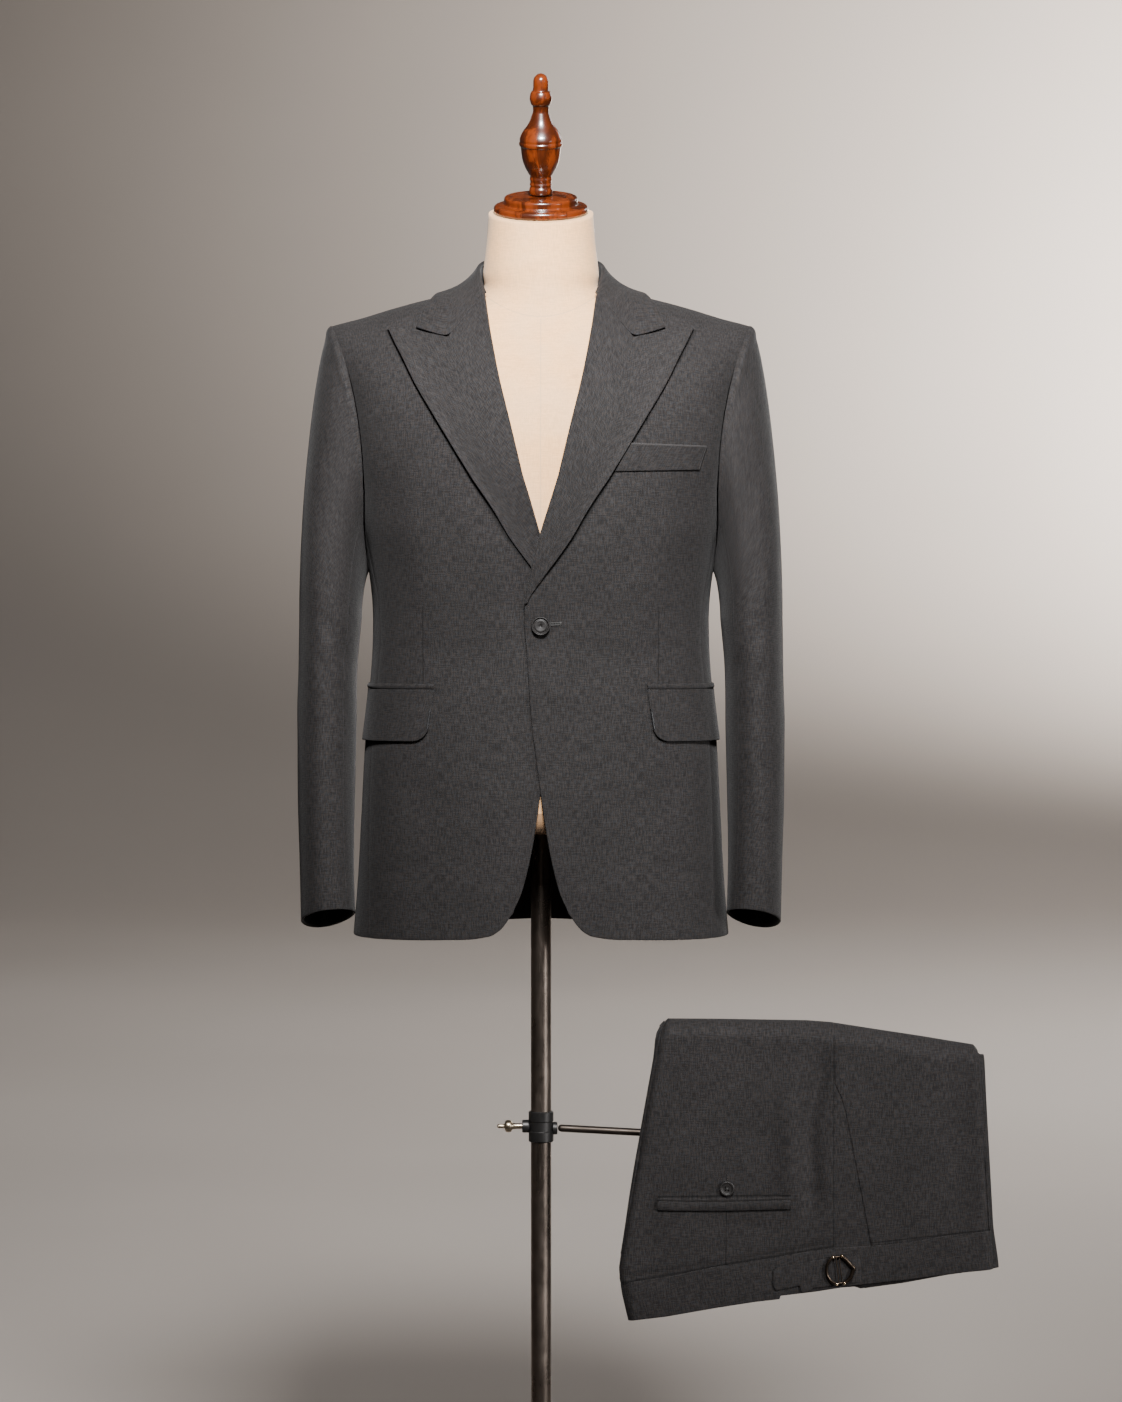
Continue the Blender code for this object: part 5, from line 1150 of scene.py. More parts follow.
class Nodes:
    """Adds nodes to a tree; an input is a value or another node's output."""

    def __init__(self, tree):
        self.tree = tree
        tree.nodes.clear()

    def add(self, kind, inputs=(), **settings):
        node = self.tree.nodes.new("ShaderNode" + kind)
        for key, value in settings.items():
            setattr(node, key, value)
        for key, value in dict(inputs).items():
            if isinstance(value, bpy.types.NodeSocket):
                self.tree.links.new(value, node.inputs[key])
            else:
                node.inputs[key].default_value = value
        return node

    def put(self, value, socket):
        """A node's output sent to an input socket."""
        self.tree.links.new(value, socket)

    def vector(self, operation, a, b, output=0):
        """A vector operation; output is Value where it gives a number."""
        return self.add("VectorMath", {0: a, 1: b}, operation=operation).outputs[output]

    def math(self, operation, a, b=0.0, clamp=False):
        return self.add("Math", {0: a, 1: b}, operation=operation, use_clamp=clamp).outputs[0]

    def mul(self, a, b):
        return self.math("MULTIPLY", a, b)

    def plus(self, a, b, clamp=False):
        return self.math("ADD", a, b, clamp)

    def less(self, a, b, clamp=False):
        return self.math("SUBTRACT", a, b, clamp)

    def over(self, a, b, clamp=False):
        return self.math("DIVIDE", a, b, clamp)

    def scaled(self, vector, scale, shift=(0, 0, 0)):
        """The vector times a scale, moved: a pattern's own coordinates."""
        inputs = {"Vector": vector, "Scale": scale, "Location": shift}
        return self.add("Mapping", inputs, vector_type="POINT").outputs[0]

    def noise(self, vector, scale, detail=2.0, rough=0.55, warp=0.0):
        inputs = {"Vector": vector, "Scale": scale, "Detail": detail, "Roughness": rough, "Distortion": warp}
        return self.add("TexNoise", inputs).outputs[0]

    def ramp(self, value, low, high, to_low=0.0, to_high=1.0):
        """The value carried from one range to another, smoothly at both ends."""
        inputs = {"Value": value, "From Min": low, "From Max": high, "To Min": to_low, "To Max": to_high}
        return self.add("MapRange", inputs, interpolation_type="SMOOTHSTEP").outputs[0]

    def mix(self, share, a, b, blend="MIX"):
        inputs = {0: share, 6: a, 7: b}
        return self.add("Mix", inputs, data_type="RGBA", blend_type=blend).outputs[2]

    def filled(self, tree, inputs):
        """A node that holds a group, with the group's inputs."""
        return self.add("Group", inputs, node_tree=tree)


def new_group(name, inputs, outputs):
    """A shader node group: three numbers make a vector, four a colour, one a plain value."""
    tree = bpy.data.node_groups.new(name, "ShaderNodeTree")
    n = Nodes(tree)
    for label, default in inputs.items():
        kind = {1: "Float", 3: "Vector", 4: "Color"}[np.size(default)]
        socket = tree.interface.new_socket(label, in_out="INPUT", socket_type="NodeSocket" + kind)
        socket.default_value = default
    for label in outputs:
        kind = "Color" if label == "Color" else "Float"
        tree.interface.new_socket(label, in_out="OUTPUT", socket_type="NodeSocket" + kind)
    return n, n.tree.nodes.new("NodeGroupInput").outputs, n.tree.nodes.new("NodeGroupOutput").inputs


def colour(c):
    """A colour as four numbers."""
    return (c[0], c[1], c[2], 1.0)


def times(c, k):
    """A colour made lighter or darker, as four numbers."""
    return (c[0] * k, c[1] * k, c[2] * k, 1.0)


def worsted_group():
    """Worsted cloth in its own metres: warp and weft threads of mixed greys, some warm and some cool."""
    grey = (0.05, 0.05, 0.05, 1)
    inputs = {"Cloth": (0, 0, 0), "Base": grey, "Thread": 0.0011, "Slub": 0.014, "Contrast": 0.5}
    n, given, out = new_group("Worsted", inputs, ("Color", "Height", "Roughness"))
    cloth = given["Cloth"]
    fine = n.over(1.0, given["Thread"])
    long = n.over(1.0, given["Slub"])
    warp_scale = n.add("CombineXYZ", {0: fine, 1: long, 2: 1.0}).outputs[0]
    weft_scale = n.add("CombineXYZ", {0: long, 1: fine, 2: 1.0}).outputs[0]
    warp = n.noise(n.vector("MULTIPLY", cloth, warp_scale), 1.0, 3.0)
    weft = n.noise(n.vector("MULTIPLY", cloth, weft_scale), 1.0, 3.0)
    fleck = n.noise(cloth, n.mul(fine, 1.3), 2.0, 0.7)
    cloud = n.noise(cloth, 22.0, 3.0, 0.5)
    threads = n.plus(n.mul(warp, 1.25), n.mul(weft, 0.95))
    threads = n.plus(threads, n.mul(fleck, 0.9))
    value = n.ramp(threads, 1.30, 1.82)
    dark = n.mix(given["Contrast"], (1, 1, 1, 1), (0.50, 0.50, 0.51, 1))
    light = n.mix(given["Contrast"], (1, 1, 1, 1), (1.70, 1.68, 1.66, 1))
    tone = n.mix(value, dark, light)
    tint = n.ramp(n.noise(n.scaled(cloth, (620, 260, 1), (3, 7, 0)), 1.0, 2.0), 0.40, 0.62)
    tone = n.mix(1.0, tone, n.mix(tint, (1.10, 0.99, 0.92, 1), (0.94, 1.0, 1.08, 1)), "MULTIPLY")
    shade = n.ramp(cloud, 0.3, 0.7, 0.93, 1.07)
    shade = n.add("CombineColor", {0: shade, 1: shade, 2: shade}).outputs[0]
    tone = n.mix(1.0, tone, shade, "MULTIPLY")
    n.put(n.mix(1.0, given["Base"], tone, "MULTIPLY"), out["Color"])
    u = n.add("SeparateXYZ", {0: cloth}).outputs
    rib = n.math("SINE", n.mul(n.plus(u[0], u[1]), 2 * math.pi / 0.00125))
    height = n.plus(n.mul(value, 0.8), n.mul(rib, 0.10))
    n.put(height, out["Height"])
    n.put(n.ramp(value, 0, 1, 0.86, 0.72), out["Roughness"])
    return n.tree


def seam_and_painted_light_line_group():
    """Nearness to a line between two points of the cloth, for seams and for painted shade and highlight: 1 on
    it, 0 past its width.
    """
    inputs = {"Cloth": (0, 0, 0), "From": (0, 0, 0), "To": (0, 1, 0), "Width": 0.001}
    n, given, out = new_group("Seam and painted light line", inputs, ["Mask"])
    off = n.vector("SUBTRACT", given["Cloth"], given["From"])
    line = n.vector("SUBTRACT", given["To"], given["From"])
    length = n.vector("DOT_PRODUCT", line, line, "Value")
    run = n.vector("DOT_PRODUCT", off, line, "Value")
    share = n.over(run, length, clamp=True)
    foot = n.add("VectorMath", {0: line, "Scale": share}, operation="SCALE").outputs[0]
    away = n.vector("DISTANCE", off, foot, "Value")
    nearness = n.less(1.0, n.over(away, given["Width"]), clamp=True)
    n.put(nearness, out["Mask"])
    return n.tree


def grain_group():
    """Wood grain along Z: stretched noise in rings, with dark pores."""
    inputs = {"Place": (0, 0, 0), "Light": (0.4, 0.12, 0.04, 1), "Dark": (0.1, 0.02, 0.01, 1), "Size": 60.0}
    n, given, out = new_group("Grain", inputs, ("Color", "Height", "Roughness"))
    stretched = n.scaled(given["Place"], (1, 1, 0.16))
    figure = n.noise(stretched, given["Size"], 4.0, 0.6, 1.6)
    pores = n.noise(n.scaled(given["Place"], (1, 1, 0.06)), 900.0, 2.0, 0.6)
    rings = n.math("SINE", n.mul(figure, 26.0))
    share = n.plus(n.ramp(figure, 0.30, 0.70, 0.0, 0.75), n.mul(rings, 0.14))
    shown = n.mix(share, given["Dark"], given["Light"])
    pore = n.ramp(pores, 0.60, 0.74)
    shown = n.mix(n.mul(pore, 0.45), shown, given["Dark"])
    n.put(shown, out["Color"])
    n.put(n.mul(pore, -1.0), out["Height"])
    n.put(n.ramp(figure, 0.3, 0.7, 0.30, 0.20), out["Roughness"])
    return n.tree


def wear_group():
    """Fine scratches, smears and dust of a handled surface, as roughness and a colour mask."""
    inputs = {"Place": (0, 0, 0), "Polish": 0.2, "Smear": 0.15}
    n, given, out = new_group("Wear", inputs, ("Roughness", "Dust", "Height"))
    place = given["Place"]
    smears = n.noise(n.scaled(place, (1, 1, 0.35)), 38.0, 4.0, 0.65, 0.5)
    scratches = n.noise(n.scaled(place, (1, 1, 0.03)), 1500.0, 1.0, 0.5)
    spots = n.ramp(n.noise(place, 240.0, 3.0, 0.7), 0.62, 0.74)
    rough = n.plus(given["Polish"], n.mul(n.ramp(smears, 0.35, 0.75), given["Smear"]))
    rough = n.plus(rough, n.mul(n.ramp(scratches, 0.6, 0.8), 0.10))
    rough = n.plus(rough, n.mul(spots, 0.12), clamp=True)
    n.put(rough, out["Roughness"])
    n.put(spots, out["Dust"])
    n.put(n.mul(scratches, 0.3), out["Height"])
    return n.tree


BUILDERS = {
    "Worsted": worsted_group,
    "Seam and painted light line": seam_and_painted_light_line_group,
    "Grain": grain_group,
    "Wear": wear_group,
}
GROUPS = {}
MADE = {}


def shared(name):
    """A node group by name, built once."""
    if name not in GROUPS:
        GROUPS[name] = BUILDERS[name]()
    return GROUPS[name]


def new_material(name, cloth=False):
    """A material, its nodes, and the place that it is drawn on: the cloth's own metres or the object's."""
    made = bpy.data.materials.new(name)
    made.use_nodes = True
    n = Nodes(made.node_tree)
    place = n.add("UVMap", uv_map="cloth").outputs[0] if cloth else n.add("TexCoord").outputs["Object"]
    return made, n, place


def surfaced(n, inputs, height=None, distance=0.0003, strength=0.5, specular=None, **constants):
    """A Principled shader with linked inputs and constants set on its sockets, and a bump from a height."""
    if height is not None:
        bump = {"Height": height, "Strength": strength, "Distance": distance}
        inputs["Normal"] = n.add("Bump", bump).outputs[0]
    if specular is not None:
        inputs["Specular IOR Level"] = specular
    inputs.update({key.replace("_", " ").title(): value for key, value in constants.items()})
    shader = n.add("BsdfPrincipled", inputs)
    n.put(shader.outputs[0], n.add("OutputMaterial").inputs["Surface"])


def wool(name, shade, lines=()):
    """Worsted on a piece's own metres, with lines between pairs of its points: ends, width and tone."""
    made, n, cloth = new_material(name, cloth=True)
    sizes = bpy.context.scene.suit_cloth
    inputs = {
        "Cloth": cloth, "Base": colour(shade),
        "Thread": sizes.thread, "Slub": sizes.slub, "Contrast": sizes.contrast,
    }
    weave = n.filled(shared("Worsted"), inputs).outputs
    shown, height = weave["Color"], weave["Height"]
    # Each line mixes in the cloth's colour times its tone. Dark lines are seams and painted shade; light
    # lines are painted highlight on edges.
    for start, end, width, tone in lines:
        inputs = {"Cloth": cloth, "From": (*start, 0), "To": (*end, 0), "Width": width}
        mask = n.filled(shared("Seam and painted light line"), inputs).outputs["Mask"]
        shown = n.mix(n.mul(mask, 0.70), shown, times(shade, tone))
        height = n.less(height, n.mul(mask, 2.0 if tone < 1 else 0.0))
    inputs = {"Base Color": shown, "Roughness": weave["Roughness"], "Sheen Tint": SHEEN_TINT}
    surfaced(n, inputs, height, 0.00020, 0.45, 0.12, sheen_weight=sizes.sheen, sheen_roughness=0.42)
    return made


def lining():
    """Smooth dark satin inside the jacket."""
    made, n, cloth = new_material("lining_satin", cloth=True)
    folds = n.noise(n.scaled(cloth, (30, 9, 1)), 1.0, 3.0)
    shown = n.mix(n.ramp(folds, 0.35, 0.7), (0.006, 0.006, 0.007, 1), (0.016, 0.015, 0.016, 1))
    surfaced(n, {"Base Color": shown, "Roughness": n.ramp(folds, 0.3, 0.7, 0.38, 0.55)}, folds, 0.0015, 0.4)
    return made


def canvas():
    """Cream canvas of the dress form: fine plain weave, age stains, seams, and painted brown shade at the
    bottom, where the jacket shades it.
    """
    made, n, place = new_material("form_canvas")
    split = n.add("SeparateXYZ", {0: place}).outputs
    x, z = split[0], split[2]
    shade = bpy.context.scene.suit_cloth.canvas
    weave_x = n.noise(n.scaled(place, (900, 900, 90)), 1.0, 2.0)
    weave_z = n.noise(n.scaled(place, (90, 90, 900)), 1.0, 2.0)
    weave = n.ramp(n.plus(weave_x, weave_z), 0.75, 1.25)
    shown = n.mix(weave, times(shade, 0.88), times(shade, 1.06))
    cloud = n.ramp(n.noise(place, 14.0, 4.0, 0.6), 0.35, 0.7)
    shown = n.mix(n.mul(cloud, 0.22), shown, (0.52, 0.40, 0.27, 1))
    stain = n.ramp(n.noise(n.scaled(place, (1, 1, 0.7), (4, 2, 9)), 26.0, 5.0, 0.62, 0.4), 0.60, 0.76)
    shown = n.mix(n.mul(stain, 0.38), shown, (0.36, 0.22, 0.12, 1))
    curve_up = n.mul(n.math("POWER", n.over(x, 0.060), 2.0), 0.023)
    base_seam = n.math("ABSOLUTE", n.less(z, n.plus(1.4725, curve_up)))
    centre = n.plus(n.math("ABSOLUTE", x), n.ramp(z, 1.470, 1.473, 0.0, 1.0))
    seam = n.math("MINIMUM", base_seam, centre)
    seam_mask = n.less(1.0, n.over(seam, 0.0009), clamp=True)
    shown = n.mix(n.mul(seam_mask, 0.50), shown, (0.40, 0.29, 0.19, 1))
    # Painted shade: the bottom of the form, in the jacket's shadow, is drawn brown.
    painted_low_shade = n.ramp(z, 0.944, 0.9455, 1.0, 0.0)
    shown = n.mix(n.mul(painted_low_shade, 0.85), shown, (0.21, 0.115, 0.055, 1))
    near_cap = n.ramp(z, 1.565, 1.598, 0.0, 0.30)
    shown = n.mix(near_cap, shown, (0.50, 0.37, 0.25, 1))
    height = n.less(n.mul(weave, 0.5), n.mul(seam_mask, 2.0))
    rough = n.ramp(cloud, 0, 1, 0.90, 0.80)
    inputs = {"Base Color": shown, "Roughness": rough, "Sheen Tint": CANVAS_TINT}
    surfaced(n, inputs, height, 0.0003, 0.45, sheen_weight=0.15, sheen_roughness=0.5)
    return made


def mahogany():
    """Lacquered mahogany with its grain along the turning's axis."""
    made, n, place = new_material("mahogany_lacquer")
    light = bpy.context.scene.suit_metals.wood
    inputs = {"Place": place, "Light": colour(light), "Dark": times(light, 0.20), "Size": 46.0}
    grain = n.filled(shared("Grain"), inputs)
    surfaced(
        n, {"Base Color": grain.outputs["Color"], "Roughness": grain.outputs["Roughness"]},
        grain.outputs["Height"], 0.0001, 0.25, coat_weight=0.55, coat_roughness=0.07,
    )
    return made


def metal(name, shade, polish, smear, dust=(0.10, 0.085, 0.07), metallic=1.0):
    """Metal with smears, scratches and dust spots."""
    made, n, place = new_material(name)
    wear = n.filled(shared("Wear"), {"Place": place, "Polish": polish, "Smear": smear})
    tone = n.ramp(n.noise(place, 30.0, 3.0), 0.3, 0.7)
    shown = n.mix(tone, times(shade, 0.82), times(shade, 1.12))
    shown = n.mix(n.mul(wear.outputs["Dust"], 0.35), shown, colour(dust))
    inputs = {"Base Color": shown, "Roughness": wear.outputs["Roughness"]}
    surfaced(n, inputs, wear.outputs["Height"], 0.00005, 0.3, metallic=metallic)
    return made


def horn(name, shade):
    """Polished dark horn with paler streaks."""
    made, n, place = new_material(name)
    streak = n.ramp(n.noise(n.scaled(place, (1, 1, 2.2)), 180.0, 4.0, 0.6, 1.2), 0.42, 0.66)
    shown = n.mix(streak, times(shade, 0.75), times(shade, 1.45))
    rough = n.ramp(n.noise(place, 400.0, 2.0), 0.3, 0.7, 0.42, 0.56)
    surfaced(n, {"Base Color": shown, "Roughness": rough}, streak, 0.00003, 0.1, 0.28)
    return made


def thread(name, shade):
    """Twisted sewing silk; made near-black, the same shader also draws the painted shade inside slits."""
    made, n, place = new_material(name)
    twist = n.noise(n.scaled(place, (2600, 2600, 900)), 1.0, 2.0)
    shown = n.mix(n.ramp(twist, 0.35, 0.65), times(shade, 0.6), times(shade, 1.35))
    surfaced(n, {"Base Color": shown, "Roughness": n.ramp(twist, 0.3, 0.7, 0.5, 0.7)}, twist, 0.0001, 0.5)
    return made


def made_once(key, build, *given):
    """A material by key, built the first time that it is asked for."""
    if key not in MADE:
        MADE[key] = build(*given)
    return MADE[key]


def worsted(slot, piece="", lines=()):
    """A garment's worsted, or one piece's own with the lines drawn on it."""
    cloth = bpy.context.scene.suit_cloth
    shade = cloth.jacket if slot == "jacket_wool" else cloth.trousers
    return made_once(slot + piece, wool, slot + piece, shade, lines)


def lining_satin():
    """The jacket's satin, built once."""
    return made_once("lining", lining)


def buttonhole_silk():
    """Dark silk of the buttonhole and of the buttons' threads."""
    return made_once("silk", thread, "buttonhole_silk", (0.021, 0.0195, 0.0185))


def slit_shade():
    """Near-black painted shade inside a slit: the buttonhole's cut and the slit above the hip button."""
    return made_once("slit", thread, "slit_shade", (0.004, 0.004, 0.004))


def dark_horn():
    """The buttons' horn."""
    return made_once("horn", horn, "horn_dark", bpy.context.scene.suit_metals.horn)


class SuitCloth(bpy.types.PropertyGroup):
    """Cloth sizes and colours of the suit and its form."""

    jacket: FloatVectorProperty(
        name="Jacket", description="Colour of the jacket's worsted", subtype="COLOR", size=3,
        min=0.0, max=1.0, default=(0.0150, 0.0141, 0.0140),
    )
    trousers: FloatVectorProperty(
        name="Trousers", description="Colour of the trousers' worsted", subtype="COLOR", size=3,
        min=0.0, max=1.0, default=(0.0165, 0.0154, 0.0153),
    )
    canvas: FloatVectorProperty(
        name="Canvas", description="Colour of the dress form's canvas", subtype="COLOR", size=3,
        min=0.0, max=1.0, default=(0.70, 0.385, 0.165),
    )
    thread: FloatProperty(
        name="Thread", description="Width of one thread's streak", subtype="DISTANCE", unit="LENGTH",
        min=0.0002, max=0.01, default=0.0011,
    )
    slub: FloatProperty(
        name="Streak length", description="Length of one thread's streak", subtype="DISTANCE", unit="LENGTH",
        min=0.001, max=0.1, default=0.010,
    )
    contrast: FloatProperty(
        name="Contrast", description="How far light and dark threads differ", subtype="FACTOR",
        min=0.0, max=1.0, default=0.72,
    )
    sheen: FloatProperty(
        name="Sheen", description="Strength of the cloth's soft sheen", subtype="FACTOR",
        min=0.0, max=1.0, default=0.05,
    )
    roll: FloatProperty(
        name="Lapel roll", description="How far the lapel's roll stands off the front", subtype="DISTANCE",
        unit="LENGTH", min=0.0, max=0.01, default=ROLL,
    )


class SuitMetals(bpy.types.PropertyGroup):
    """Colours of the stand's wood and metal."""

    wood: FloatVectorProperty(
        name="Mahogany", description="Light colour of the wood's grain", subtype="COLOR", size=3,
        min=0.0, max=1.0, default=(0.155, 0.027, 0.0045),
    )
    pole: FloatVectorProperty(
        name="Pole", description="Colour of the polished pole and arm", subtype="COLOR", size=3,
        min=0.0, max=1.0, default=(0.24, 0.195, 0.165),
    )
    horn: FloatVectorProperty(
        name="Buttons", description="Colour of the buttons' horn", subtype="COLOR", size=3,
        min=0.0, max=1.0, default=(0.012, 0.0105, 0.010),
    )


class SuitStage(bpy.types.PropertyGroup):
    """The floor and the studio's lights."""

    floor: FloatVectorProperty(
        name="Floor", description="Colour of the floor and backdrop", subtype="COLOR", size=3,
        min=0.0, max=1.0, default=(0.40, 0.355, 0.32),
    )
    sky: FloatProperty(
        name="Sky", description="Strength of the even light from all round", min=0.0, default=0.09,
    )
    key: FloatProperty(
        name="Key light", description="Power of the key light", unit="POWER", min=0.0, default=33.0,
    )
    side: FloatProperty(
        name="Side light", description="Power of the backdrop's light", unit="POWER", min=0.0, default=900.0,
    )


class SUIT_OT_jacket_body(bpy.types.Operator):
    """Fronts, side panels and backs of the jacket"""

    bl_idname = "suit.jacket_body"
    bl_label = "Jacket body"

    def execute(self, context):
        for side, name in ((1, "left"), (-1, "right")):
            self.front(side, name)
            panel = wrapped(side_grid(26, 120), side)
            sewn(
                f"cloth_side_{name}", panel, JACKET, [f"jacket_side_{name}"], "draped", ["form_torso"],
                lining=lining_satin(),
            )
            flat = back_grid(50, 170)
            grid = dressed(flat, back=True, side=side)
            sewn(
                f"cloth_back_{name}", grid, JACKET, [f"jacket_back_{name}"], "draped", ["form_torso"],
                lining=lining_satin(),
            )
        return {"FINISHED"}

    def front(self, side, name):
        """One front; the right one drops under the left. Its dart is a sewn line in its own metres, and
        painted shadow lines run just outside the lapel's outer edge.
        """
        flat = front_grid(60, 190)
        lift = 0.0 if side > 0 else -tuck(flat)
        grid = dressed(flat, lift=lift, side=side)
        across = np.linalg.norm(np.diff(dressed(flat), axis=0), axis=2)
        u = flat[:1, :, 0] + np.concatenate([np.zeros((1, flat.shape[1])), across.cumsum(axis=0)])
        uv = columns(u, flat[..., 1])
        # points just outside the lapel's outer edge, where its painted shadow goes
        edge = flat_points(LAPEL_EDGE[3::2, 1] + 0.0012, LAPEL_EDGE[3::2, 0])
        drawn = np.concatenate([[(DART_X, DART_LOW), (DART_X, DART_HIGH)], edge])
        ends = []
        for x, level in drawn:
            row = int(np.argmin(np.abs(flat[0, :, 1] - level)))
            ends.append((float(np.interp(x, flat[:, row, 0], u[:, row])), float(level)))
        uv = uv if side > 0 else uv[::-1]
        lines = [(ends[0], ends[1], 0.0011, 0.25)]
        # painted shadow: wide dark lines on the front just outside the lapel's edge, where the lapel shades
        # it
        lines += [(a, b, 0.0045, 0.10) for a, b in zip(ends[2:], ends[3:])]
        made = worsted("jacket_wool", f"_front_{name}", lines)
        sewn(
            f"cloth_front_{name}", grid, JACKET, [f"jacket_front_{name}"], "draped", ["form_torso"],
            made=made, uv=uv, lining=lining_satin(),
        )


class SUIT_OT_lapels(bpy.types.Operator):
    """Lapels with their roll, and the collar"""

    bl_idname = "suit.lapels"
    bl_label = "Lapels and collar"

    def execute(self, context):
        for side, name in ((1, "left"), (-1, "right")):
            self.lapel(context, side, name)
        half = collar_half(90, 14, 40)
        whole = np.concatenate([(half * (-1, 1, 1))[:0:-1], half])
        whole = softened(softened(whole, 1, 12), 0, 24)
        sewn(
            "cloth_collar", whole[:, ::-1], JACKET, ["collar"], "folded",
            ["cloth_back_left", "cloth_back_right"], thick=0.0016,
        )
        return {"FINISHED"}

    def lapel(self, context, side, name):
        """One lapel: its own surface, and a half-round roll carried along its roll line."""
        flat = lapel_grid(44, 170)
        roll = context.scene.suit_cloth.roll
        lift = lapel_lift(flat, side < 0, roll)
        drop = tuck(flat) if side < 0 else 0.0
        grid = dressed(flat, lift=lift - drop, side=side)
        grid = grid[::-1] if side < 0 else grid
        normal = normals(grid) * (1 if side > 0 else -1)
        out = -unit(np.gradient(grid, axis=0)[0])
        turn = np.radians(np.linspace(150, 12, 10))[:, None, None]
        radius = (lift[0] * 0.46)[None, :, None]
        curl = grid[:1] + out[None] * radius * np.sin(turn) - normal[:1] * radius * (1 - np.cos(turn))
        grid = np.concatenate([curl, grid])
        grid = grid[::-1] if side < 0 else grid
        sewn(
            f"cloth_lapel_{name}", grid, JACKET, [f"lapel_{name}"], "folded", [f"cloth_front_{name}"],
            thick=THIN, gap=0.0,
        )


class SUIT_OT_sleeves(bpy.types.Operator):
    """Two-piece sleeves with a roped head and open cuffs"""

    bl_idname = "suit.sleeves"
    bl_label = "Sleeves"

    def execute(self, context):
        parts = (
            ("top", HINDARM_SEAM - 2 * np.pi, FOREARM_SEAM, 90),
            ("under", FOREARM_SEAM, HINDARM_SEAM, 40),
        )
        for side, name in ((1, "left"), (-1, "right")):
            for part, start, end, around in parts:
                grid = sleeve_grid(start, end, around, 44, 110, side)
                sewn(
                    f"cloth_sleeve_{part}_{name}", grid, JACKET, [f"sleeve_{part}_{name}"], "hung",
                    [f"cloth_front_{name}"], lining=lining_satin(),
                )
        return {"FINISHED"}


class SUIT_OT_pockets(bpy.types.Operator):
    """Flaps and jets of the hip pockets, and the breast pocket's welt"""

    bl_idname = "suit.pockets"
    bl_label = "Pockets"

    def execute(self, context):
        for side, name in ((1, "left"), (-1, "right")):
            flap = hip_band(FLAP_TOP - FLAP_DROP, FLAP_TOP - 0.0004, 60, 26, FLAP_CORNER)
            down = np.linspace(1, 0, 26)[None, :]
            grid = wrapped(flap, side, THIN + POCKET_LIFT + 0.0017 * down ** 1.5)
            sewn(
                f"cloth_flap_{name}", grid, JACKET, [f"pocket_flap_{name}"], "hung",
                [f"cloth_front_{name}"], thick=THIN, lining=lining_satin(),
            )
            jet = hip_band(FLAP_TOP + 0.0004, FLAP_TOP + JET_HEIGHT, 60, 8, 0.0)
            swell = 0.0008 * np.sin(np.linspace(0, np.pi, 8))[None, :]
            grid = wrapped(jet, side, THIN + POCKET_LIFT + swell)
            sewn(
                f"cloth_jet_{name}", grid, JACKET, [f"pocket_jet_{name}"], "folded",
                [f"cloth_front_{name}"], thick=THIN,
            )
        left, right = along(WELT[[3, 0]], 12), along(WELT[[2, 1]], 12)
        flat = coons(along(WELT[[3, 2]], 40), along(WELT[[0, 1]], 40), left, right)
        lift = THIN + 0.0010 + 0.0009 * np.linspace(0, 1, 12)[None, :] ** 2
        grid = dressed(flat_points(flat[..., 0], flat[..., 1]), lift=lift)
        uv = laid_flat(grid)
        # Painted highlight: light lines along the welt's top edge and right end, where light catches them.
        corners = [tuple(float(v) for v in uv[at]) for at in ((0, -1), (-1, -1), (-1, 0))]
        lines = [(a, b, 0.0016, 2.6) for a, b in zip(corners, corners[1:])]
        made = worsted("jacket_wool", "_welt", lines)
        sewn(
            "cloth_breast_welt", grid, JACKET, ["breast_pocket_welt"], "folded", ["cloth_front_left"],
            made=made, thick=THIN, uv=uv,
        )
        return {"FINISHED"}


def front_point(x, z, lift):
    """Points on the left front's creased face at places across and heights, moved out by lift."""
    flat = flat_points(np.atleast_1d(np.asarray(x, float)), np.atleast_1d(np.asarray(z, float)))
    points, normal = body(flat), body_normals(flat)
    return creased(points, normal) + normal * lift


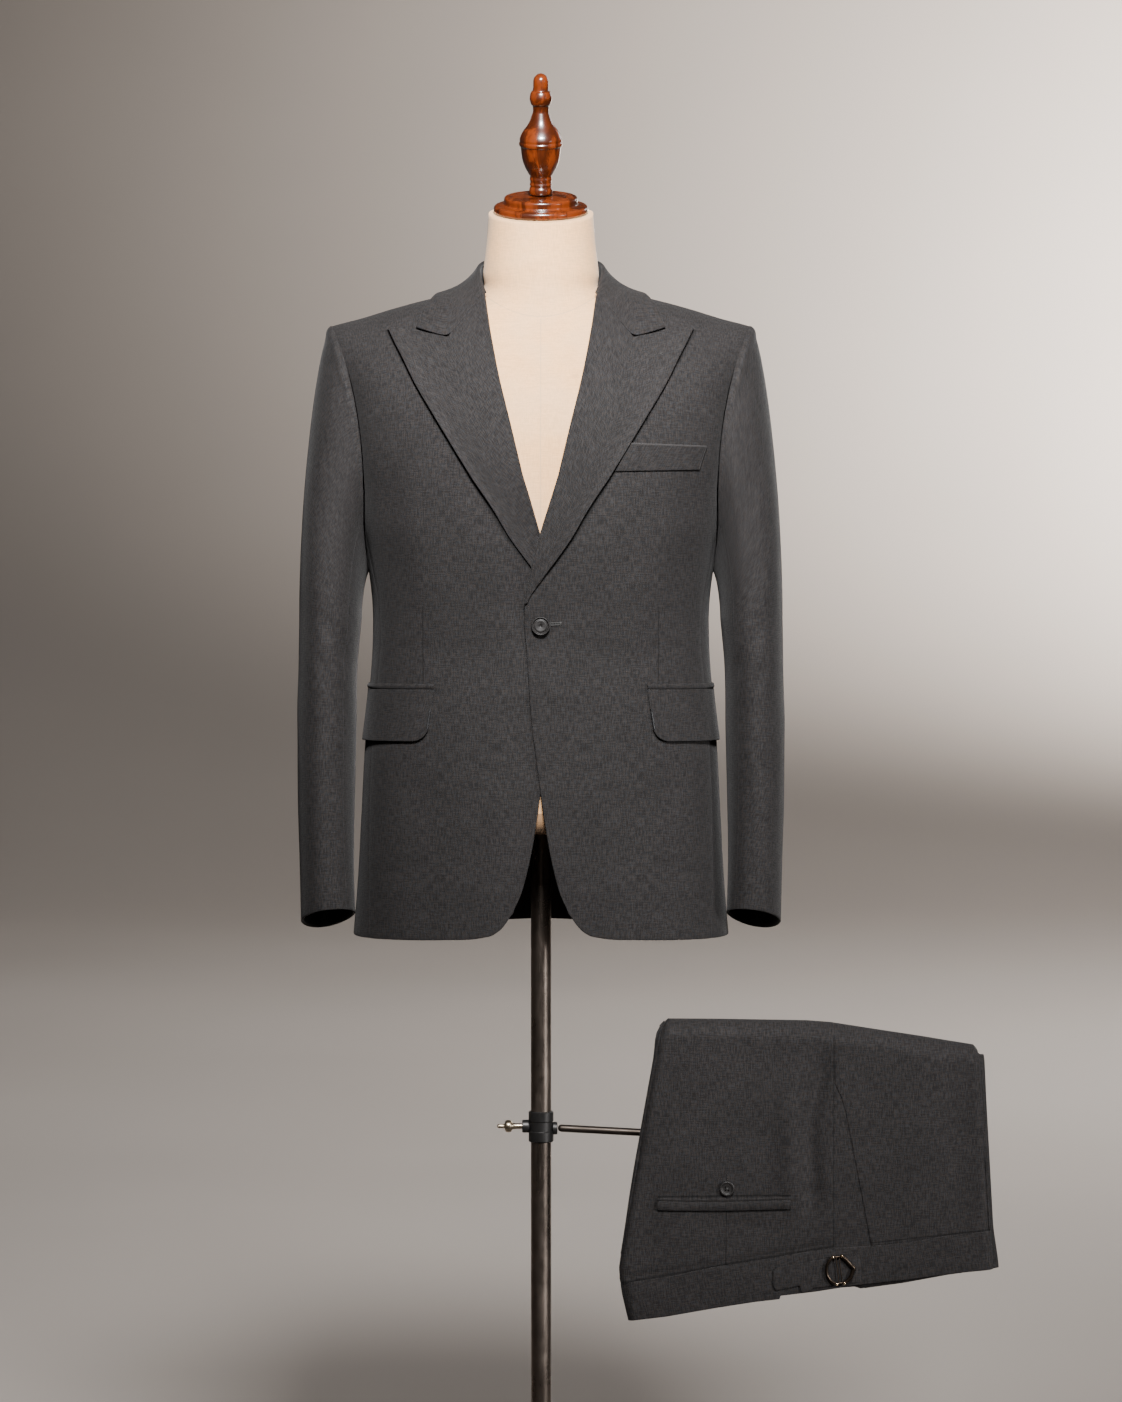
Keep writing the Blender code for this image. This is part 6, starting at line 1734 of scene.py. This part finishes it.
class SUIT_OT_closures(bpy.types.Operator):
    """Front button with its worked buttonhole, and the stitch of the lapel's eyelet"""

    bl_idname = "suit.closures"
    bl_label = "Button and buttonhole"

    def execute(self, context):
        shade = dark_horn()
        silk = buttonhole_silk()
        x, z = BUTTON_AT
        y = -float(reach(np.array(x), np.array(z))) - BUTTON_GAP
        profile = BUTTON * (BUTTON_RADIUS, -1)
        button = turned("front_button_horn", profile, shade, 64, axis="y", at=(x, y, z))
        finished(button, "stand", "horn", "front_button")
        self.buttonhole(silk)
        self.eyelet(silk)
        return {"FINISHED"}

    def buttonhole(self, silk):
        """Purl stitches square to the slit on both its sides, and three across its end."""
        first, last, level, slope = HOLE
        x = np.linspace(first, last, 20)
        z = level + slope * (x - first)
        low, high = front_point(x, z - HOLE_REACH, 0.0001), front_point(x, z + HOLE_REACH, 0.0001)
        near_low, near_high = front_point(x, z - HOLE_SLIT, 0.0002), front_point(x, z + HOLE_SLIT, 0.0002)
        end_x = last + np.array([0.0003, 0.0008, 0.0013])
        end_low, end_high = (front_point(end_x, z, 0.0001) for z in HOLE_END)
        starts = np.concatenate([low, near_high, end_low])
        ends = np.concatenate([near_low, high, end_high])
        obj = stitches("buttonhole_stitches", starts, ends, 0.00036, silk, 0.0006)
        finished(obj, "stand", "jacket_wool")
        # A near-black tube along the slit: painted shade of the cut.
        x = np.linspace(first - 0.0005, last, 12)
        slit = front_point(x, level + slope * (x - first), 0.00005)
        finished(tube("buttonhole_slit", slit, 0.00055, slit_shade(), 8), "stand", "jacket_wool")

    def eyelet(self, silk):
        """A short worked line under the left peak, with an eyelet at its outer end."""
        lift = LAPEL_GAP + CLOTH + 0.0001
        x = np.linspace(0.1107, 0.1272, 16)
        z = np.interp(x, [0.1107, 0.1278], [1.4287, 1.4313])
        starts, ends = front_point(x[:-1], z[:-1], lift), front_point(x[1:], z[1:], lift)
        turn = np.linspace(0, 2 * np.pi, 13)
        middle, level, radius = EYELET
        ring = front_point(middle + radius * np.cos(turn), level + radius * np.sin(turn), lift)
        starts, ends = np.concatenate([starts, ring[:-1]]), np.concatenate([ends, ring[1:]])
        obj = stitches("lapel_eyelet", starts, ends, 0.00026, silk, 0.0002)
        finished(obj, "stand", "jacket_wool")


def form_rings(around, rows):
    """Rings of the dress form: superellipses by height, the neck's top tilted forward."""
    heights = np.concatenate([np.linspace(FORM[0, 0], 0.955, 14)[:-1], np.linspace(0.955, NECK_TOP, rows)])
    w, f, b, power = np.moveaxis(curve(heights, FORM), -1, 0)[..., None]
    angle = np.linspace(0, 2 * np.pi, around, endpoint=False)[None, :]
    c, s = np.cos(angle), np.sin(angle)
    x = w * squared(c, power)
    y = np.where(s < 0, f, b) * squared(s, power)
    lean = np.clip((heights - TILT_START) / (NECK_TOP - TILT_START), 0, 1)[:, None] * math.tan(NECK_TILT)
    return columns(x, y, heights[:, None] + lean * y)


class SUIT_OT_form(bpy.types.Operator):
    """Canvas torso, turned neck cap and finial"""

    bl_idname = "suit.form"
    bl_label = "Dress form"

    def execute(self, context):
        rings = form_rings(144, 190)
        lip = rings[-1]
        centre = lip.mean(axis=0)
        inner = [lip + (centre - lip) * k + (0, 0, h) for k, h in ((0.02, 0.0002), (0.06, 0.00028))]
        torso = solid("form_canvas_torso", np.concatenate([rings, inner]), made_once("canvas", canvas))
        finished(torso, "stand", "canvas", "form_torso")
        wood = made_once("wood", mahogany)
        cap = turned("neck_cap_wood", CAP, wood, 96, tilt=NECK_TILT, at=(0, 0, NECK_TOP))
        finished(cap, "stand", "mahogany", "neck_cap")
        rise = CAP_HEIGHT
        at = (0, -rise * math.sin(NECK_TILT), NECK_TOP + rise * math.cos(NECK_TILT))
        finial = turned("finial_wood", FINIAL, wood, 72, tilt=NECK_TILT, at=at)
        finished(finial, "stand", "mahogany", "finial")
        return {"FINISHED"}


class SUIT_OT_stand(bpy.types.Operator):
    """Base, pole, clamp, thumb screw and arm"""

    bl_idname = "suit.stand"
    bl_label = "Stand"

    def execute(self, context):
        pole_shade = context.scene.suit_metals.pole
        steel = made_once("pole", metal, "pole_nickel", pole_shade, 0.26, 0.16)
        iron_dust = (0.12, 0.11, 0.1)
        iron = made_once("iron", metal, "iron_dark", (0.045, 0.043, 0.042), 0.34, 0.2, iron_dust, 0.85)
        brass = made_once("brass", metal, "screw_nickel_brass", (0.46, 0.38, 0.28), 0.24, 0.2)
        foot, top, r, bevel = POLE_FOOT, POLE_TOP, POLE_RADIUS, 0.0006
        low = [(0, foot), (r - bevel, foot), (r, foot + bevel)]
        pole = turned(
            "pole_tube", [*low, (r, top - bevel), (r - bevel, top), (0, top)], steel, 64, times=0, sharp=40,
        )
        finished(pole, "stand", "pole_metal", "stand_pole")
        finished(turned("base_plate", BASE, iron, 160, times=2), "stand", "dark_iron", "stand_base")
        finished(self.clamp(iron), "arm", "dark_iron", "clamp_collar")
        screw = turned("thumb_screw_turned", SCREW, brass, 48, axis="x", at=(0, 0, CLAMP_MIDDLE))
        finished(screw, "screw", "screw_metal", "thumb_screw")
        # Painted shade: the arm takes the pole's nickel darkened to a quarter, so it shows less of the lamps'
        # and floor's reflections.
        shaded_nickel = made_once("shaded_nickel", metal, "arm_nickel", times(pole_shade, 0.24)[:3], 0.42, 0.14)
        rod = tube("arm_rod", smoothly(ROD, 60), ROD_RADIUS, shaded_nickel, 32)
        bar = tube("arm_bar", along(BAR, 12), BAR_RADIUS, shaded_nickel, 24)
        arm = combined(rod, bar, "UNION")
        arm.data.shade_smooth()
        finished(arm, "arm", "pole_metal", "trouser_arm")
        return {"FINISHED"}

    def clamp(self, iron):
        """The split collar round the pole, its boss for the screw and its flange for the arm."""
        low, high, r, bore = CLAMP_LOW, CLAMP_HIGH, CLAMP_RADIUS, CLAMP_BORE
        ring = [
            (bore, low), (r - 0.001, low), (r, low + 0.001), (r, CLAMP_MIDDLE - 0.006),
            (r - 0.0008, CLAMP_MIDDLE - 0.005), (r - 0.0008, CLAMP_MIDDLE + 0.005), (r, CLAMP_MIDDLE + 0.006),
            (r, high - 0.001), (r - 0.001, high), (bore, high),
        ]
        clamp = turned("clamp_band", ring, iron, 80, times=0, closed=True)
        middle = (0, 0, CLAMP_MIDDLE)
        boss = turned("boss", BOSS * (1, -1), iron, 40, times=1, axis="x", at=middle)
        combined(clamp, boss, "UNION")
        flange = turned("flange", FLANGE, iron, 40, times=1, axis="x", at=(0, 0, ROD[0, 2]))
        combined(clamp, flange, "UNION")
        hole = [(0, -0.0090), (SCREW_BORE, -0.0090), (SCREW_BORE, -0.0250), (0, -0.0250)]
        combined(clamp, turned("hole", hole, iron, 32, times=0, axis="x", at=middle))
        clamp.data.shade_smooth()
        clamp.data.set_sharp_from_angle(angle=math.radians(38))
        return clamp


class SUIT_OT_trousers(bpy.types.Operator):
    """Folded trousers: outer legs, pocket facing, waistband and the layers behind"""

    bl_idname = "suit.trousers"
    bl_label = "Trousers"

    def execute(self, context):
        dense = np.concatenate([np.linspace(0, 0.05, 14)[:-1], np.linspace(0.05, 1, 62)])
        rest = ["trouser_arm"]
        flat = leg_grid(left_x, seam_x, dense, 110)
        # The back panel's lines: its dart and side seam, and painted shade at the waistband's seam and round
        # the hip welt.
        made = worsted("trouser_wool", "_back", BACK_SEAMS_AND_SHADE)
        sewn(
            "cloth_trousers_back", folded(flat), TROUSERS, ["trousers_back_left"], "folded", rest,
            made=made, thick=THIN, gap=0.0, uv=flat,
        )
        flat = leg_grid(slant_x, right_x, 1 - dense[::-1], 110)
        # The front panel's line: painted shade at the waistband's seam.
        made = worsted("trouser_wool", "_front", FRONT_SHADE_LINES)
        sewn(
            "cloth_trousers_front", folded(flat), TROUSERS, ["trousers_front_left"], "folded", rest,
            made=made, thick=THIN, gap=0.0, uv=flat,
        )
        self.facing()
        self.waistband()
        flat = rear_grid(80, 90)
        sewn(
            "cloth_trousers_rear", folded(flat, 0.0, 0.8), TROUSERS, ["trousers_under_layers"], "folded",
            rest, thick=THIN, gap=0.0003, uv=flat,
        )
        self.layers()
        return {"FINISHED"}

    def facing(self):
        """The slant pocket's facing, a strip from the side seam to under the slant edge."""
        z = np.linspace(0.4640, SLANT[-1, 0] + 0.002, 80)
        edge = linear(z, SLANT) + 0.0030
        share = np.linspace(0, 1, 20)[:, None]
        flat = columns(SIDE_SEAM - 0.0012 + share * (edge - SIDE_SEAM + 0.0012), z + 0 * share)
        sewn(
            "cloth_pocket_facing", folded(flat, -0.0010), TROUSERS, ["trousers_pocket_facing"], "folded",
            ["cloth_trousers_front"], thick=0.0008, gap=0.0, uv=flat,
        )

    def waistband(self):
        """The band under the panels' lower edge, a little proud of them."""
        x = np.unique(np.concatenate([np.linspace(0.0957, 0.4878, 180), np.linspace(0.2570, 0.2600, 8)]))
        low, high = linear(x, BAND_LOW), curve(x, PANT_BAND)
        high[0], high[-1] = 0.4300, 0.4868
        band, bulge = strip(x, low, high, 16)
        band[0, :, 0], band[-1, :, 0] = left_x(band[0, :, 1]), right_x(band[-1, :, 1])
        swell = 0.0014 + 0.0005 * bulge
        sewn(
            "cloth_waistband", folded(band, swell), TROUSERS, ["waistband_left"], "folded", ["trouser_arm"],
            thick=THIN, uv=laid_flat(folded(band)),
        )

    def layers(self):
        """The hidden layers over the bar, one block with grooved edges."""
        sides = stack_sides(90, 70, 17, 41)
        points = np.concatenate([side.reshape(-1, 3) for side in sides])
        faces, start = [], 0
        for side in sides:
            count = side.shape[0] * side.shape[1]
            faces.append(cells(start + np.arange(count).reshape(side.shape[:2])))
            start += count
        block = add_mesh("layers_under", points, np.concatenate(faces), worsted("trouser_wool", "_layers"))
        tidy(block.data, 50)
        self.flat_uv(block.data)
        finished(block, "arm", "trouser_wool")
        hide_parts("trousers_under_layers")

    def flat_uv(self, mesh):
        """The layers' own metres: distance across and height, each with some of the depth added."""
        co = np.zeros(len(mesh.vertices) * 3)
        mesh.vertices.foreach_get("co", co)
        co = co.reshape(-1, 3)
        loops = np.zeros(len(mesh.loops), np.int32)
        mesh.loops.foreach_get("vertex_index", loops)
        while mesh.uv_layers:
            mesh.uv_layers.remove(mesh.uv_layers[0])
        layer = mesh.uv_layers.new(name="cloth")
        uv = np.stack([co[:, 0] + 1.7 * co[:, 1], co[:, 2] + co[:, 1]], axis=1)
        layer.data.foreach_set("uv", uv[loops].ravel())


class SUIT_OT_trouser_details(bpy.types.Operator):
    """Hip pocket with its button, adjuster strap and buckle"""

    bl_idname = "suit.trouser_details"
    bl_label = "Trouser details"

    def execute(self, context):
        self.welt()
        self.strap()
        self.button(dark_horn())
        bronze = made_once("bronze", metal, "buckle_bronze", (0.050, 0.037, 0.028), 0.34, 0.15)
        # Painted highlight: the balls take a lighter, glossier copy of the buckle's metal, where they catch
        # the light.
        bright = made_once("bright", metal, "buckle_balls_brass", (0.62, 0.47, 0.31), 0.12, 0.10)
        self.buckle(bronze, bright)
        return {"FINISHED"}

    def welt(self):
        """Two lips: the wide one, and a thin one along its top."""
        x0, x1, z0, z1 = HIP_WELT
        share = np.linspace(0, 1, 70)
        x = x0 + share * (x1 - x0)
        sag = -0.0012 * np.sin(np.pi * share) + 0.0015 * share
        for name, low, high, lift, swell in (
            ("cloth_hip_welt", z0, z1 - 0.0036, THIN + 0.0014, 0.0010),
            ("cloth_hip_lip", z1 - 0.0034, z1, THIN + POCKET_LIFT, 0.0005),
        ):
            flat, bulge = strip(x, low, high, 12, sag)
            raised = lift + swell * bulge
            sewn(
                name, folded(flat, raised), TROUSERS, ["hip_pocket_welt"], "folded",
                ["cloth_trousers_back"], thick=THIN, uv=flat,
            )

    def strap(self):
        """The adjuster's strap with its notched end, laid on the band and sinking into it at the right."""
        parts = ((0.2512, 0.2545, 10), (0.2552, 0.2960, 60), (0.2980, 0.3560, 30))
        x = np.concatenate([np.linspace(*part) for part in parts])
        low = linear(x, STRAP_LOW)
        high = linear(x, STRAP_HIGH)
        strap, bulge = strip(x, low, high, 14)
        lift = THIN + 0.0020 + 0.0004 * bulge
        lift = lift - 0.0030 * step((x[:, None] - 0.335) / 0.018)
        sewn(
            "cloth_adjuster_strap", folded(strap, lift), TROUSERS, ["adjuster_strap"], "folded",
            ["cloth_waistband"], thick=THIN, uv=strap,
        )

    def button(self, shade):
        """A raised rim round a dish with four holes, sewn with two crossing threads."""
        at = (HIP_BUTTON_AT[0], -HALF - 0.0006, HIP_BUTTON_AT[1])
        profile = HIP_BUTTON * (HIP_BUTTON_RADIUS, -1)
        button = turned("hip_button_horn", profile, shade, 56, axis="y", at=at)
        offset = 0.0017
        hole = [(0, -0.004), (0.0008, -0.004), (0.0008, 0.0011), (0, 0.0011)]
        around = [(dx * offset, 0, dz * offset) for dx in (-1, 1.013) for dz in (-1, 1.017)]
        holes = [turned("hole", hole, shade, 17, times=0, axis="y", at=np.add(at, off)) for off in around]
        combined(button, joined("holes", holes))
        button.data.shade_smooth()
        button.data.set_sharp_from_angle(angle=math.radians(45))
        finished(button, "arm", "horn", "hip_pocket_button")
        self.threads(at, offset)

    def threads(self, at, offset):
        """Two crossing threads over the button's dish, and above it a near-black line, painted shade standing
        for the slit there.
        """
        silk = buttonhole_silk()
        y = at[1] - 0.0013
        a = np.array([(at[0] - offset, y, at[2] - offset), (at[0] - offset, y, at[2] + offset)])
        b = np.array([(at[0] + offset, y, at[2] + offset), (at[0] + offset, y, at[2] - offset)])
        finished(stitches("hip_button_thread", a, b, 0.0005, silk, 0.0009), "arm", "trouser_wool")
        x = at[0] - 0.0002 + np.array([-0.001, 0, 0.001])[:, None]
        z = np.linspace(0.5425, 0.5500, 5)[None]
        face = folded(columns(x, z))[1] - (0, 0.0003, 0)
        # painted shade: a near-black line for the dark slit above the button
        loop = stitches("hip_button_slit_shade", face[:-1], face[1:], 0.00040, slit_shade(), 0.0001)
        finished(loop, "arm", "trouser_wool")

    def buckle(self, bronze, bright):
        """A bowed left bar and a pointed right one between four balls, and two thin bars over the strap; the
        balls are lighter, a painted highlight.
        """
        parts = []
        for line, radius in BUCKLE_BARS:
            parts.append(tube("bar", self.on_strap(smoothly(line, 48), 0.0044), radius, bronze, 16))
        finished(joined("buckle_bars", parts), "arm", "bronze", "adjuster_buckle")
        balls = []
        for across, up in BUCKLE_BALLS:
            turn = np.linspace(-np.pi / 2, np.pi / 2, 15)
            ball = np.stack([0.0019 * np.cos(turn), 0.0019 * np.sin(turn)], axis=1)
            at = self.on_strap(np.array([[across, up]]), 0.0050)[0]
            balls.append(turned("ball", ball, bright, 24, times=0, axis="y", at=tuple(at)))
        finished(joined("buckle_balls", balls), "arm", "bronze")

    def on_strap(self, flat, lift):
        """Points in front of the strap, from places across and up in the buckle's own slanting frame."""
        c, s = math.cos(BUCKLE_SLANT), math.sin(BUCKLE_SLANT)
        x = BUCKLE_AT[0] + c * flat[:, 0] - s * flat[:, 1]
        z = BUCKLE_AT[1] + s * flat[:, 0] + c * flat[:, 1]
        return np.stack([x, np.full(len(x), -HALF - THIN - lift), z], axis=1)


def aimed(obj, place, target):
    """Puts a light or camera at a place, looking at a target."""
    obj.location = place
    obj.rotation_euler = (Vector(target) - Vector(place)).to_track_quat("-Z", "Y").to_euler()
    bpy.context.scene.collection.objects.link(obj)
    return obj


def area_light(name, place, target, size, power, spread, tint):
    """A rectangular lamp at a place, aimed at a target."""
    data = bpy.data.lights.new(name, "AREA")
    data.shape = "RECTANGLE"
    data.size, data.size_y = size
    data.energy = power
    data.spread = math.radians(spread)
    data.color = tint
    return aimed(bpy.data.objects.new(name, data), place, target)


class SUIT_OT_stage(bpy.types.Operator):
    """Pale floor that runs up into a backdrop, studio lights and the camera"""

    bl_idname = "suit.stage"
    bl_label = "Stage"

    def execute(self, context):
        self.floor(context.scene.suit_stage.floor)
        self.lights(context.scene.suit_stage)
        data = bpy.data.cameras.new("camera")
        data.sensor_fit = "HORIZONTAL"
        data.lens = SENSOR * VIEW_DISTANCE / VIEW_WIDTH
        data.clip_end = 50
        context.scene.camera = aimed(bpy.data.objects.new("camera", data), CAMERA_AT, CAMERA_TARGET)
        return {"FINISHED"}

    def floor(self, shade):
        """A sweep: the floor, a quarter circle and the wall, carried sideways."""
        turn = np.linspace(0, np.pi / 2, 32)
        front, back, radius, top, half = SWEEP
        y = np.concatenate([[front, -3.0, 0.0, 4.0], back + radius * np.sin(turn), [back + radius]])
        z = np.concatenate([[0, 0, 0, 0], radius - radius * np.cos(turn), [top]])
        x = np.array([-half, half])
        points = np.stack([np.broadcast_to(v, (2, len(y))) for v in (x[:, None], y[None], z[None])], axis=-1)
        made, n, place = new_material("studio_floor")
        soft = n.ramp(n.noise(place, 0.5, 3.0, 0.5), 0.3, 0.7)
        shown = n.mix(soft, times(shade, 0.97), times(shade, 1.03))
        surfaced(n, {"Base Color": shown, "Roughness": n.ramp(soft, 0, 1, 0.8, 0.9)})
        faces = cells(np.arange(2 * len(y)).reshape(2, -1))
        add_mesh("studio_sweep", points.reshape(-1, 3), faces, made)

    def lights(self, stage):
        """The even light of the room and the lamps of the table."""
        world = bpy.data.worlds.new("studio")
        world.use_nodes = True
        world.node_tree.nodes["Background"].inputs[0].default_value = (0.80, 0.77, 0.74, 1)
        world.node_tree.nodes["Background"].inputs[1].default_value = stage.sky
        bpy.context.scene.world = world
        for name, place, target, size, power, share, spread, tint in LIGHTS:
            area_light(name, place, target, size, getattr(stage, power) * share, spread, tint)


OPERATORS = [
    SUIT_OT_form,
    SUIT_OT_stand,
    SUIT_OT_jacket_body,
    SUIT_OT_lapels,
    SUIT_OT_sleeves,
    SUIT_OT_pockets,
    SUIT_OT_closures,
    SUIT_OT_trousers,
    SUIT_OT_trouser_details,
    SUIT_OT_stage,
]


class SUIT_PT_panel(bpy.types.Panel):
    """Lists the suit's colours and operators"""

    bl_idname = "SUIT_PT_panel"
    bl_label = "Suit"
    bl_space_type = "VIEW_3D"
    bl_region_type = "UI"
    bl_category = "Suit"

    def draw(self, context):
        for group in (context.scene.suit_cloth, context.scene.suit_metals, context.scene.suit_stage):
            for label in group.__annotations__:
                self.layout.prop(group, label)
        for operator in OPERATORS:
            self.layout.operator(operator.bl_idname)


CLASSES = [SuitCloth, SuitMetals, SuitStage, *OPERATORS, SUIT_PT_panel]


def register():
    for kind in CLASSES:
        bpy.utils.register_class(kind)
    bpy.types.Scene.suit_cloth = PointerProperty(type=SuitCloth)
    bpy.types.Scene.suit_metals = PointerProperty(type=SuitMetals)
    bpy.types.Scene.suit_stage = PointerProperty(type=SuitStage)


def unregister():
    del bpy.types.Scene.suit_stage
    del bpy.types.Scene.suit_metals
    del bpy.types.Scene.suit_cloth
    for kind in reversed(CLASSES):
        bpy.utils.unregister_class(kind)


def main():
    register()
    for operator in OPERATORS:
        group, name = operator.bl_idname.split(".")
        getattr(getattr(bpy.ops, group), name)()


if __name__ == "__main__":
    main()
